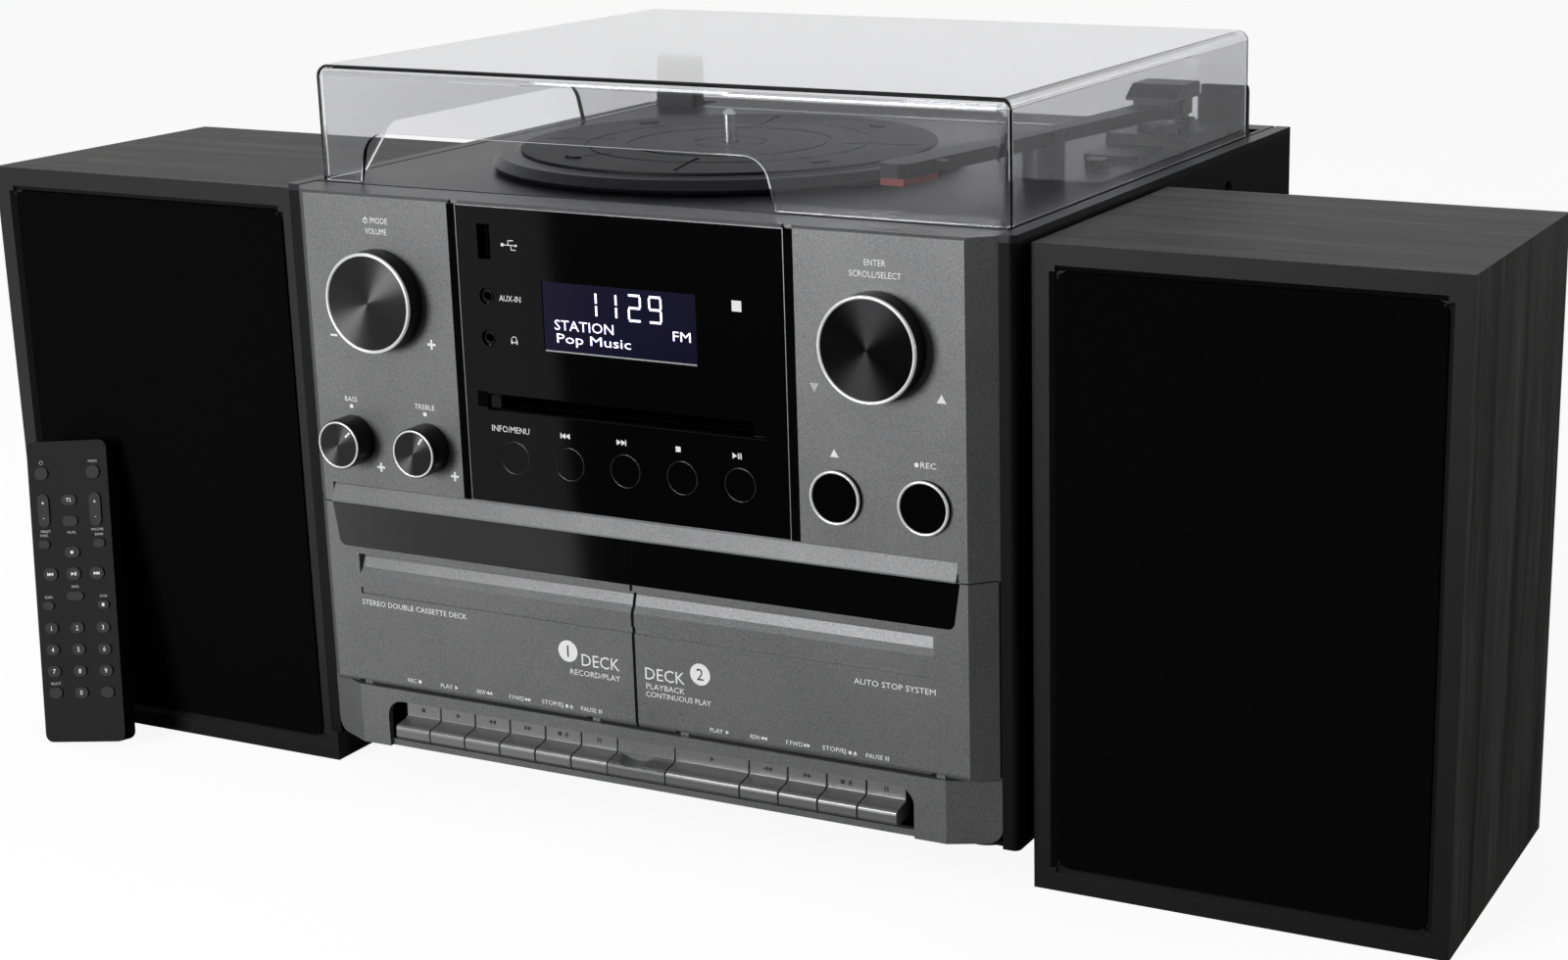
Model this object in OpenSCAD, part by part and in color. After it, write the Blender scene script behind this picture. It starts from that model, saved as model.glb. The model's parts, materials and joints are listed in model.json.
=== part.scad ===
// Stereo music centre in millimetres, +Z up: a main unit with a turntable, a disc and
// radio section and a double cassette deck, two free-standing speakers and a remote
// control that leans on the left speaker. The main unit faces -Y. The origin is on the
// floor, under the middle of the whole set's bounding box.

/* [Case of the main unit] */
// Width across the side walls
unit_w = 357.2; // [330:0.1:400]
// Depth from the fascia plane to the back
unit_d = 344; // [335:1:400]
// Thickness of the side walls
side_t = 7.3; // [4:0.1:9]
// Thickness of the floor of the case
floor_t = 2.5; // [2:0.1:4]
// Height of the rubber feet
foot_h = 18.8; // [10:0.1:30]
// Radius of the rubber feet
foot_r = 14; // [10:0.5:18]
// Radius of the front upright edges of the side walls
side_edge_r = 3; // [1:0.1:3.5]
// Thickness of the moulded plastic walls
wall = 3; // [2.4:0.1:3.4]

/* [Fascia] */
// Depth of the slanted ends of the fascia
chamfer = 10; // [8:0.1:11]
// Height of the lower panel that holds the keys
lower_h = 28.3; // [28:0.1:34]
// Height of the cassette doors
door_h = 86; // [84:0.1:95]
// Gap above and below the cassette doors
door_gap = 0.6; // [0.5:0.05:1]
// Height of the ledge above the doors
ledge_h = 8; // [6:0.1:10]
// Height of the upper fascia with the controls
upper_h = 133.7; // [130:0.1:145]
// Half width at which the lower panel starts to slant
lower_flat_x = 150; // [145:0.5:155]
// Half width of the glossy display panel
display_x = 80.4; // [79:0.1:82]
// Width of the dark groove on each side of the display panel
groove_w = 3.6; // [2:0.1:4.5]
// Depth of that groove
groove_d = 2; // [1:0.1:2.2]

/* [Controls] */
// Radius of the two large knobs
knob_r = 22.5; // [20:0.1:24]
// How far the large knobs stand out
knob_out = 9.8; // [7:0.1:13]
// Distance of the large knobs from the middle
knob_x = 122.3; // [120:0.1:125]
// Height of the large knobs above the ledge
knob_up = 87.4; // [84:0.1:92]
// Radius of the tone knobs
tone_r = 11.2; // [9:0.1:12]
// How far the tone knobs stand out
tone_out = 11.7; // [8:0.1:14]
// Distance of the outer tone knob and the record button from the middle
outer_x = 142.5; // [140:0.1:145]
// Distance of the inner tone knob and the eject button from the middle
near_x = 102; // [100:0.1:106]
// Height of the tone knobs and small buttons above the ledge
low_up = 22.1; // [20:0.1:26]
// Radius of the eject and record buttons
button_r = 11.5; // [9:0.1:12]
// Radius of the five transport buttons
small_r = 7.6; // [6:0.1:9]
// Distance between the transport buttons
small_pitch = 28.2; // [25:0.1:30]
// Travel of the push buttons
press = 1.5; // [1:0.1:2]
// Travel of the large knobs when they are pushed
knob_press = 0.8; // [0.5:0.1:1]

/* [Display panel] */
// Half width of the display window
window_x = 37.9; // [35:0.1:45]
// Height of the display window
window_h = 30.5; // [25:0.1:35]
// Height of the lower edge of the window above the ledge
window_up = 71.3; // [68:0.1:75]
// Half width of the disc slot
slot_x = 63; // [62:0.1:70]
// Height of the disc slot
slot_h = 5.4; // [5:0.1:6]
// Height of the middle of the disc slot above the ledge
slot_up = 46.4; // [42:0.1:50]
// Distance of the sockets at the left from the middle
socket_x = 66.2; // [64:0.1:70]
// Height of the lower socket above the ledge
phones_up = 74.8; // [70:0.1:78]
// Height of the upper socket above the ledge
aux_up = 93.1; // [90:0.1:98]
// Height of the memory stick opening above the ledge
usb_up = 109.4; // [106:0.1:112]

/* [Cassette doors and keys] */
// Height of the glossy windows at the top of the doors
door_window_h = 20.1; // [15:0.1:22]
// Opening angle of the cassette doors
door_open = 35; // [20:1:36]
// Width of a cassette with its clearance
tape_w = 102; // [101:0.5:104]
// Height of a cassette with its clearance
tape_h = 65; // [64:0.5:68]
// Thickness of a cassette with its clearance
tape_t = 12.8; // [12.4:0.1:13.4]
// Width of one piano key with its gap
key_pitch = 19.05; // [18:0.05:19.2]
// Width of the wide play key of the second deck
wide_key_w = 37.4; // [30:0.1:38]
// Gap between neighbouring keys
key_gap = 0.5; // [0.3:0.05:0.8]
// Half width of the recess that holds the keys
recess_x = 135; // [134:0.1:138]
// Height of the recess
recess_h = 22.7; // [22.5:0.1:24]
// Angle by which a key goes down
key_travel = 5; // [3:0.5:5]

/* [Turntable] */
// Place of the spindle: sideways
spindle_x = -26.5; // [-30:0.1:-20]
// Place of the spindle: behind the fascia plane
spindle_d = 143; // [140:0.1:148]
// Radius of the spindle
spindle_r = 3.25; // [3:0.05:3.5]
// Height of the spindle above the deck
spindle_h = 23.8; // [20:0.1:26]
// Radius of the platter
platter_r = 109.6; // [105:0.1:110]
// Radius of the rubber mat
mat_r = 96.5; // [90:0.1:100]
// Height of the mat's surface above the deck
mat_up = 8.9; // [8.6:0.1:9.2]
// Radius of the drive ring under the platter
drive_ring_r = 63; // [55:0.5:66]
// Radius of the motor pulley
pulley_r = 6; // [4:0.1:8]
// Distance of the tonearm pivot from the inside of the side wall
pivot_side = 29.5; // [28.5:0.1:33]
// Distance of the tonearm pivot from the back of the unit
pivot_back = 86.5; // [82:0.1:94]
// Height of the arm's axis above the deck
arm_up = 18.1; // [17.6:0.1:20]
// How far the arm's elbow lies inwards of the pivot
elbow_in = 17.3; // [14:0.1:21]
// Place of the arm's elbow behind the fascia plane
elbow_d = 113; // [105:0.1:118]
// How far the stylus lies inwards of the pivot
stylus_in = 29.3; // [28:0.1:31]
// Place of the stylus behind the fascia plane
stylus_d = 45; // [44:0.1:50]
// Height of the stylus above the mat while the arm is parked
stylus_gap = 1.5; // [1.4:0.1:2]

/* [Dust cover] */
// Gap between the cover and the line of the side walls' inner faces
cover_side = 1.3; // [0.5:0.1:3]
// Place of the cover's front wall behind the fascia plane
cover_front = 23.2; // [20:0.1:26]
// Room between the cover and the back of the unit
cover_room = 36.8; // [34:0.1:39]
// Height of the cover
cover_h = 51.1; // [46:0.1:60]
// Thickness of the cover
cover_t = 2.5; // [2:0.1:3]
// Radius of the cover's edges
cover_r = 5; // [4:0.1:6]
// Height of the cut-outs in the cover
cutout_h = 22.3; // [15:0.1:26]

/* [Speakers] */
// Width of a speaker
speaker_w = 178.7; // [170:0.1:200]
// Height of a speaker
speaker_h = 275; // [260:1:300]
// Depth of a speaker
speaker_d = 148; // [130:1:180]
// Gap between a speaker and the main unit
speaker_gap = 2.9; // [1:0.1:10]
// How far the speakers' fronts stand behind the fascia plane
speaker_set_back = 19.2; // [0:0.1:40]
// Thickness of the speaker's boards
board_t = 10; // [8:0.1:12]
// Width of the frame above the cloth grille
frame_top = 11; // [9:0.1:14]
// Width of the frame beside the cloth grille
frame_side = 10; // [8:0.1:12]
// Depth of the recess for the grille
grille_pocket = 8; // [6:0.1:10]
// Thickness of the grille
grille_t = 5; // [4:0.1:5.5]
// Radius of the woofer's rim
woofer_r = 64; // [50:1:70]

/* [Remote control] */
// Width of the remote control
remote_w = 43.4; // [40:0.1:48]
// Length of the remote control
remote_l = 146; // [145:1:160]
// Thickness of the remote control
remote_t = 9; // [8:0.1:12]
// Radius of its corners
remote_r = 4; // [2:0.1:6]
// Angle by which it turns about the vertical
remote_turn = 10.5; // [0:0.5:20]
// Angle by which it leans back
remote_lean = 11.4; // [8:0.1:20]
// Angle by which it leans to its left
remote_roll = -5.3; // [-8:0.1:0]
// Sideways place of the remote control
remote_x = -314.4; // [-330:0.1:-280]

/* [Hidden] */
$fn = 64;
// A cut reaches this far past the surface that it opens.
over = 1;
// Radial clearance of a shaft in its bore.
run = 0.05;
// Gap between neighbours that move past each other.
gap = 0.3;

// Half widths of the inside of the case, of the flat of the fascia and of the ledge.
inner_x = unit_w / 2 - side_t;
flat_x = inner_x - chamfer;
door_end = inner_x - door_gap;
cover_x = inner_x - cover_side;
pivot_x = inner_x - pivot_side;
elbow_x = pivot_x - elbow_in;
stylus_x = pivot_x - stylus_in;
pivot_d = unit_d - pivot_back;
cover_d = unit_d - cover_room - cover_front;
function cover_back() = cover_front + cover_d;

// Levels, from the floor up.
case_z = foot_h;
floor_z = case_z + floor_t;
lower_top = floor_z + lower_h;
door_z = lower_top + door_gap;
door_top = door_z + door_h;
ledge_z = door_top + door_gap;
ledge_top = ledge_z + ledge_h;
fascia_top = ledge_top + upper_h;
lip = 0.3;
rim_z = fascia_top + lip;
flange_z = rim_z - wall;
deck_z = rim_z;
deck_under = flange_z;

// Depth behind the fascia plane of the pan that carries the doors' bays.
pan_d = chamfer + 1;
pan_back = pan_d + wall;
// Depth of the fascia's top, up to the cover's front wall.
band_d = cover_front - 1.2;

// Heights of the controls.
knob_z = ledge_top + knob_up;
low_z = ledge_top + low_up;
slot_z = ledge_top + slot_up;
window_z = ledge_top + window_up;
display_bottom = ledge_top + 0.8;
display_top = fascia_top - 1.4;

// Remote control: its turned axes, how far it reaches, and its middle.
ct = cos(remote_turn);
st = sin(remote_turn);
cl = cos(remote_lean);
sl = sin(remote_lean);
cr = cos(remote_roll);
sr = sin(remote_roll);
remote_y_row = [st * cr - ct * sl * sr, ct * cl, st * sr + ct * sl * cr];
remote_z_row = [-cl * sr, -sl, cl * cr];
function reach(q) =
    abs(q.x) * (remote_w / 2 - remote_r) + abs(q.z) * (remote_l / 2 - remote_r)
    + remote_r * norm([q.x, q.z]) + abs(q.y) * remote_t / 2;
remote_reach = reach(remote_y_row);
remote_up = reach(remote_z_row);
remote_gap = 0.1;
grille_back = 1.5;
grille_front = grille_pocket - grille_back - grille_t;

// The fascia plane's place, so that the whole set's box is centred on the origin.
fascia_y = (2 * remote_reach + remote_gap - grille_front - speaker_set_back - unit_d) / 2;
speaker_y = fascia_y + speaker_set_back;
speaker_x = unit_w / 2 + speaker_gap;
remote_y = speaker_y + grille_front - remote_gap - remote_reach;

// ---------------------------------------------------------------- shared shapes

// A box between two values along each axis.
module slab(x, y, z) {
    translate([x[0], y[0], z[0]])
        cube([x[1] - x[0], y[1] - y[0], z[1] - z[0]]);
}

// A rod along X, along Y, and an upright one.
module rod_x(r, x, y, z) {
    translate([x[0], y, z]) rotate([0, 90, 0]) cylinder(r = r, h = x[1] - x[0]);
}
module rod_y(r, x, y, z) {
    translate([x, y[0], z]) rotate([-90, 0, 0]) cylinder(r = r, h = y[1] - y[0]);
}
module rod_z(r, x, y, z) {
    translate([x, y, z[0]]) cylinder(r = r, h = z[1] - z[0]);
}

// A flat outline in X and Z, made solid along Y.
module plate_y(y) {
    translate([0, y[1], 0]) rotate([90, 0, 0]) linear_extrude(y[1] - y[0]) children();
}

// A flat outline in Y and Z, made solid along X.
module plate_x(x) {
    translate([x[0], 0, 0]) rotate([90, 0, 90]) linear_extrude(x[1] - x[0]) children();
}

// A rectangle with round corners, given by its limits.
module round_rect(x, y, r) {
    translate([x[0] + r, y[0]]) square([x[1] - x[0] - 2 * r, y[1] - y[0]]);
    translate([x[0], y[0] + r]) square([x[1] - x[0], y[1] - y[0] - 2 * r]);
    for (cx = [x[0] + r, x[1] - r], cy = [y[0] + r, y[1] - r])
        translate([cx, cy]) circle(r);
}

// Both sides of the middle plane.
module both() {
    children();
    mirror([1, 0, 0]) children();
}

// The main unit's own frame: Y is the depth behind the fascia plane.
module unit() {
    translate([0, fascia_y, 0]) children();
}

// ---------------------------------------------------------------- case

module cabinet_shell() color("#1d1e20") unit() {
    top = flange_z;
    difference() {
        union() {
            slab([-unit_w / 2, unit_w / 2], [chamfer + side_edge_r, unit_d - wall], [case_z, floor_z]);
            both() linear_extrude_side(top);
        }
        for (x = foot_places_x(), y = foot_places_d())
            rod_z(foot_pin_r, x, y, [case_z - over, floor_z + over]);
        both() for (p = side_screws())
            rod_x(screw_r, [unit_w / 2 - side_t - over, unit_w / 2 + over], p[0], p[1]);
    }
}

// One side wall with a round front edge.
module linear_extrude_side(top) {
    translate([0, 0, case_z]) linear_extrude(top - case_z) {
        translate([inner_x, chamfer]) square([side_t - side_edge_r, unit_d - chamfer]);
        translate([inner_x, chamfer + side_edge_r])
            square([side_t, unit_d - chamfer - side_edge_r]);
        translate([unit_w / 2 - side_edge_r, chamfer + side_edge_r]) circle(side_edge_r);
    }
}

foot_pin_r = 2.5;
foot_inset = 38;
foot_front_d = 62;
function foot_places_x() = [-(unit_w / 2 - foot_inset), unit_w / 2 - foot_inset];
function foot_places_d() = [foot_front_d, unit_d - foot_inset];

module feet() color("#161616") unit()
    for (x = foot_places_x(), y = foot_places_d()) {
        translate([x, y, 0]) cylinder(r1 = foot_r - 2, r2 = foot_r, h = foot_h);
        rod_z(foot_pin_r, x, y, [foot_h, foot_h + floor_t]);
    }

// Rear cover with vents, a sunken socket field and sunken screw heads.
rear_field_x = [-70, 70];
rear_field_up = [24, 66];
field_depth = 10;
vent_w = 60;
vent_h = 2.4;
vent_step = 6;
vents = 7;
screw_r = 1.6;
screw_head_r = 3.2;
screw_head_t = 1.5;
cover_screw_inset = 9;
cover_screw_down = 18;
function cover_screws() = [
    for (x = [-(inner_x - cover_screw_inset), inner_x - cover_screw_inset],
         z = [floor_z + cover_screw_inset, flange_z - cover_screw_down]) [x, z]];
side_screw_inset = 90;
side_screw_down = 14;
function side_screws() = [
    for (y = [side_screw_inset, unit_d - side_screw_inset],
         z = [floor_z + side_screw_down, flange_z - side_screw_down]) [y, z]];
boss_r = 4;
boss_l = 14;

module rear_cover() color("#1b1b1d") unit() {
    front = unit_d - wall;
    z0 = floor_z + rear_field_up[0];
    z1 = floor_z + rear_field_up[1];
    difference() {
        union() {
            slab([-inner_x, inner_x], [front, unit_d], [case_z, flange_z]);
            slab([rear_field_x[0] - wall, rear_field_x[1] + wall], [unit_d - field_depth - wall, unit_d],
                [z0 - wall, z1 + wall]);
            for (p = cover_screws()) rod_y(boss_r, p[0], [front - boss_l, front], p[1]);
        }
        slab(rear_field_x, [unit_d - field_depth, unit_d + over], [z0, z1]);
        for (p = cover_screws()) {
            rod_y(screw_r, p[0], [front - boss_l - over, unit_d + over], p[1]);
            rod_y(screw_head_r + run, p[0], [unit_d - screw_head_t, unit_d + over], p[1]);
        }
        for (side = [-1, 1], n = [0 : vents - 1])
            slab([side * inner_x / 2 - vent_w / 2, side * inner_x / 2 + vent_w / 2],
                [front - over, unit_d + over],
                [z1 + 50 + n * vent_step, z1 + 50 + vent_h + n * vent_step]);
        for (x = socket_places()) rod_y(socket_neck_r, x, [front - field_depth - wall, unit_d],
            rear_socket_z());
    }
}

socket_neck_r = 3;
socket_rim_r = 4.2;
socket_out = 6;
rear_socket_pitch = 18;
function socket_places() = [for (n = [-3 : 3]) n * rear_socket_pitch];
function rear_socket_z() = floor_z + (rear_field_up[0] + rear_field_up[1]) / 2;
terminal_r = 4;
terminal_out = 8;
terminal_up = 90;
terminal_gap = 20;

// Line and loudspeaker sockets of the main unit, and the speakers' terminals.
module rear_sockets() color("#b7b2a8") {
    unit() for (x = socket_places()) {
        base = unit_d - field_depth;
        rod_y(socket_neck_r - run, x, [base - wall, base], rear_socket_z());
        difference() {
            rod_y(socket_rim_r, x, [base, base + socket_out], rear_socket_z());
            rod_y(1.6, x, [base + 1, base + socket_out + over], rear_socket_z());
        }
    }
    for (side = [-1, 1], off = [-1, 1])
        rod_y(terminal_r, side * (speaker_x + speaker_w / 2) + off * terminal_gap / 2,
            [speaker_y + speaker_d, speaker_y + speaker_d + terminal_out], terminal_up);
}

module screws() color("#0f0f10") unit() {
    for (p = cover_screws()) {
        rod_y(screw_head_r, p[0], [unit_d - screw_head_t, unit_d - 0.1], p[1]);
        rod_y(screw_r - run, p[0], [unit_d - wall - boss_l, unit_d - screw_head_t], p[1]);
    }
    both() for (p = side_screws()) {
        rod_x(screw_head_r - 0.4, [unit_w / 2, unit_w / 2 + 0.8], p[0], p[1]);
        rod_x(screw_r - run, [inner_x + 1, unit_w / 2], p[0], p[1]);
    }
}

// ---------------------------------------------------------------- fascia

// Outline of the fascia from above, from its flat half width to the side walls.
module fascia_plan(flat, back, end) {
    polygon([[-end, chamfer], [-flat, 0], [flat, 0], [end, chamfer], [end, back], [-end, back]]);
}

// The same, hollow, with walls of one thickness.
module fascia_skin(flat, back, end) {
    skew = wall * (sqrt(pow(end - flat, 2) + pow(chamfer, 2)) - (end - flat)) / chamfer;
    slope = (end - flat) / chamfer;
    inner_end = flat - skew + slope * (chamfer - wall);
    difference() {
        fascia_plan(flat, back, end);
        polygon([[-inner_end, chamfer], [-(flat - skew), wall], [flat - skew, wall],
            [inner_end, chamfer], [inner_end, back + over], [-inner_end, back + over]]);
    }
}

lip_bevel = 1.6;
seam_d = 1.6;
seam_h = 0.8;
corner_r = 6;
ledge_out = 1.6;
ledge_in = 1.2;
ledge_block_x = 156.6;
bay_margin = 3.5;
function bay_x() = (door_end + door_middle) / 2 - 1;
door_middle = 0.75;
tray_wall = 2.2;

module front_panel() color("#55575b") unit() difference() {
    union() {
        upper_fascia();
        ledge();
        lower_panel();
        // Pan behind the doors, with a shelf below and above it.
        slab([-inner_x, inner_x], [pan_d, pan_back], [lower_top - wall, ledge_z + wall]);
        slab([-inner_x, inner_x], [pan_d, pan_back], [ledge_z, ledge_top + wall]);
        door_ears();
        board_posts();
    }
    // Bays behind the doors.
    both() slab([bay_x() - tape_w / 2 - tray_wall - bay_margin, bay_x() + tape_w / 2 + tray_wall + bay_margin],
        [pan_d - over, pan_back + over],
        [door_z + 2, door_z + tape_h + 14]);
    // Opening and grooves for the display panel.
    slab([-display_x - run, display_x + run], [-over, wall + over], [display_bottom - run, display_top + run]);
    both() slab([display_x - over, display_x + groove_w], [-over, groove_d], [display_bottom - 0.4, fascia_top + over]);
    control_holes();
}

module upper_fascia() difference() {
    union() {
        translate([0, 0, ledge_top]) linear_extrude(upper_h) fascia_skin(flat_x, pan_back, inner_x);
        translate([0, 0, fascia_top - wall]) linear_extrude(wall) fascia_plan(flat_x, band_d, inner_x);
    }
    // Shadow line above the ledge.
    slab([-ledge_block_x, ledge_block_x], [-over, seam_d], [ledge_top - over, ledge_top + seam_h]);
    // Bevel along the upper front edge.
    translate([0, 0, fascia_top]) rotate([45, 0, 0])
        cube([unit_w, lip_bevel, lip_bevel], center = true);
}

// Sloping ledge between two end blocks.
module ledge() {
    translate([0, 0, ledge_z]) linear_extrude(ledge_h) difference() {
        fascia_plan(flat_x, pan_back, inner_x);
        translate([-ledge_block_x, -over]) square([2 * ledge_block_x, pan_d]);
    }
    plate_x([-ledge_block_x, ledge_block_x])
        polygon([[pan_d - over, ledge_z], [-ledge_out, ledge_z], [-ledge_out, ledge_z + 0.8],
            [ledge_in, ledge_top], [pan_d - over, ledge_top]]);
}

// Lower panel: front wall, ends, shelf and the rail below the keys.
rail_h = 3;
module lower_panel() {
    difference() {
        intersection() {
            translate([0, 0, floor_z]) linear_extrude(lower_h) fascia_skin(lower_flat_x, pan_back, inner_x);
            plate_y([-over, pan_back + over]) union() {
                round_rect([-inner_x, inner_x], [floor_z, floor_z + 2 * corner_r + 2], corner_r);
                translate([-inner_x, floor_z + corner_r]) square([2 * inner_x, lower_h - corner_r]);
            }
        }
        plate_y([-over, chamfer]) {
            round_rect([-recess_x, recess_x], [floor_z + 2, floor_z + recess_h], 8);
            translate([-recess_x, floor_z - over]) square([2 * recess_x, recess_h / 2]);
        }
    }
    slab([-recess_x - wall, recess_x + wall], [2, 2 + wall], [floor_z, floor_z + rail_h]);
    translate([0, 0, lower_top - wall]) linear_extrude(wall) fascia_plan(lower_flat_x, pan_back, inner_x);
    key_filler();
}

// Keys: borders of the two groups, seen from the front.
filler_x = [-13.6, 15.9];
key_axis_d = 24;
key_axis_up = 18.7;
key_axis_z = floor_z + key_axis_up;
key_face_d = 4.6;
key_lip_d = -4.8;
key_top = floor_z + recess_h - 0.8;
key_step = floor_z + 13.3;
key_bottom = floor_z + 6.2;

// Side view of the visible end of a key.
module key_profile(back) polygon([
    [key_face_d, key_top], [key_face_d - 0.4, key_step + 1.6], [key_face_d - 1.6, key_step + 0.6],
    [key_lip_d + 1.2, key_step - 0.4], [key_lip_d + 0.2, key_step - 1.2], [key_lip_d, key_step - 2.4],
    [key_lip_d, key_bottom + 1.4], [key_lip_d + 1, key_bottom], [back - 2, key_bottom],
    [back, key_bottom + 2], [back, key_top]]);

notch_r = 16;
module key_filler() difference() {
    union() {
        plate_x([filler_x[0] + key_gap / 2, filler_x[1] - key_gap / 2]) key_profile(pan_d - 1);
        slab([filler_x[0] + key_gap / 2, filler_x[1] - key_gap / 2], [key_face_d, pan_d - 1],
            [key_top - over, lower_top - wall]);
    }
    // Rounded dip in the upper face.
    rod_y(notch_r, (filler_x[0] + filler_x[1]) / 2 - 4, [key_lip_d - over, key_face_d - 0.6], key_step + notch_r - 1.2);
}

// Ears on the shelf that hold the doors' hinge pins.
hinge_r = 1.2;
door_edge_r = 3;
hinge_d = door_edge_r;
hinge_z = door_z + door_edge_r;
ear_r = 2.2;
ear_w = 4;
pocket_w = 7;
pocket_r = ear_r + 0.25;
ear_offset = 62;
module door_ears() both() for (off = [-ear_offset, ear_offset]) difference() {
    x0 = bay_x() + off - ear_w / 2;
    union() {
        rod_x(ear_r, [x0, x0 + ear_w], hinge_d, hinge_z);
        slab([x0, x0 + ear_w], [hinge_d - 0.6, hinge_d + ear_r], [lower_top - over, hinge_z]);
    }
    rod_x(hinge_r + run, [x0 - over, x0 + ear_w + over], hinge_d, hinge_z);
}

// Posts that carry the control board behind the fascia.
board_d = 24;
post_r = 3;
function board_post_x() = [-(display_x + 12), display_x + 12];
function board_post_z() = [ledge_top + 8, fascia_top - 12];
module board_posts() for (x = board_post_x(), z = board_post_z())
    rod_y(post_r, x, [wall - over, board_d], z);

// Bushes and holes for the controls at the left and right.
knob_shaft_r = 3;
tone_shaft_r = 2.5;
cap_gap = 0.1;
module control_holes() {
    both() rod_y(knob_shaft_r + run, knob_x, [-over, wall + over], knob_z);
    for (x = [-outer_x, -near_x]) rod_y(tone_shaft_r + run, x, [-over, wall + over], low_z);
    for (x = [outer_x, near_x]) rod_y(button_r + cap_gap, x, [-over, wall + over], low_z);
}

// ---------------------------------------------------------------- display panel

display_t = 3;
flange_t = 2;
function small_x(n) = n * small_pitch;
usb_w = 6.5;
usb_h = 15.2;
jack_r = 1.8;
jack_ring_r = 3.7;
module display_panel() color("#0b0b0d") unit() difference() {
    union() {
        slab([-display_x, display_x], [0, wall], [display_bottom, display_top]);
        slab([-display_x - groove_w + 0.4, display_x + groove_w - 0.4], [wall, wall + flange_t],
            [display_bottom + 0.6, display_top - 1.8]);
        // Wells of the memory stick port and the two jacks.
        usb_block(usb_w / 2 + 1.2, usb_h / 2 + 1.2, 16);
        for (up = [phones_up, aux_up])
            rod_y(jack_ring_r + 1, -socket_x, [wall, 16], ledge_top + up);
    }
    usb_block(usb_w / 2, usb_h / 2, 15, -over);
    for (up = [phones_up, aux_up]) {
        rod_y(jack_ring_r, -socket_x, [-over, 1.2], ledge_top + up);
        rod_y(jack_r, -socket_x, [-over, 15], ledge_top + up);
    }
    // Display window and its rebate.
    slab([-window_x, window_x], [-over, wall + flange_t + over], [window_z, window_z + window_h]);
    // Disc slot with a flared mouth.
    slab([-slot_x, slot_x], [-over, wall + flange_t + over], [slot_z - slot_h / 2, slot_z + slot_h / 2]);
    plate_x([-slot_x - 6, slot_x + 6]) polygon([[-over, slot_z - 4.6], [1.4, slot_z - slot_h / 2],
        [1.4, slot_z + slot_h / 2], [-over, slot_z + 4.6]]);
    for (n = [-2 : 2]) rod_y(small_r + cap_gap, small_x(n), [-over, wall + flange_t + over], low_z);
}
module usb_block(half_w, half_h, back, front = 1) slab(
    [-socket_x - half_w, -socket_x + half_w], [front, back],
    [ledge_top + usb_up + 7.6 - half_h, ledge_top + usb_up + 7.6 + half_h]);

// Display glass in its window, on its own small board.
module lcd_module() color("#24305c") unit() {
    slab([-window_x + run, window_x - run], [0.4, wall + flange_t], [window_z + run, window_z + window_h - run]);
    slab([-window_x - 5, window_x + 5], [wall + flange_t, wall + flange_t + 5],
        [window_z - 4, window_z + window_h + 4]);
}

// ---------------------------------------------------------------- deck

belt_t = 0.6;
motor_r = 14;
motor_x = spindle_x - (drive_ring_r + pulley_r + belt_t + 8);
motor_d = spindle_d;
pin_hole = spindle_r + run;
leaf_t = 2.6;
hinge_slot_side = 3.8;
hinge_slot_w = 25;
hinge_slot_x = [inner_x - hinge_slot_side - hinge_slot_w, inner_x - hinge_slot_side];
clip_back = 8;
trunnion_r = 2;
trunnion_l = 2;
hinge_axis_d = cover_back() + clip_back;
hinge_slot_d = [cover_back() - cover_t - leaf_t - 0.6, hinge_axis_d + 14];
hinge_axis_z = rim_z - 2.4;
barrel_r = 3.6;
hinge_floor_z = hinge_axis_z - barrel_r - 1.5;
rest_x = pivot_x - 14.3;
rest_d = (pivot_d + elbow_d) / 2 - 35.25;
rest_r = 9.5;
arm_z = deck_z + arm_up;
arm_h = 6;
arm_under = arm_z - arm_h / 2;

// Depth of the grooves between the deck and the side walls.
edge_groove = 1.5;
module deck_plate() color("#3a3b3f") unit() {
    difference() {
        union() {
            // Flat plate that caps the side walls and meets the fascia.
            translate([0, 0, deck_under]) linear_extrude(wall) deck_outline();
            hinge_box();
        }
        both() slab([cover_x, inner_x], [band_d - over, unit_d + over], [deck_z - edge_groove, deck_z + over]);
        rod_z(pin_hole, spindle_x, spindle_d, [deck_under - over, deck_z + over]);
        rod_z(motor_hole_r, motor_x, motor_d, [deck_under - over, deck_z + over]);
        // Slots behind the cover for its two hinges.
        both() slab(hinge_slot_x, hinge_slot_d, [hinge_floor_z, rim_z + over]);
        both() rod_x(trunnion_r + run, [hinge_slot_x[0] - trunnion_l, hinge_slot_x[0] + over],
            hinge_axis_d, hinge_axis_z);
        both() rod_x(trunnion_r + run, [hinge_slot_x[1] - over, hinge_slot_x[1] + trunnion_l],
            hinge_axis_d, hinge_axis_z);
        speed_slot();
    }
    drive_posts();
}

module hinge_box() both() slab([hinge_slot_x[0] - wall, inner_x], [hinge_slot_d[0] - wall, hinge_slot_d[1] + wall],
    [hinge_floor_z - 2, flange_z + over]);

module deck_outline() {
    translate([-inner_x, band_d]) square([2 * inner_x, unit_d - band_d]);
    both_flat() {
        translate([inner_x, chamfer + side_edge_r])
            square([side_t, unit_d - chamfer - side_edge_r]);
        translate([inner_x, chamfer]) square([side_t - side_edge_r, side_edge_r + over]);
        translate([unit_w / 2 - side_edge_r, chamfer + side_edge_r]) circle(side_edge_r);
    }
}
module both_flat() {
    children();
    mirror([1, 0]) children();
}

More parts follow.
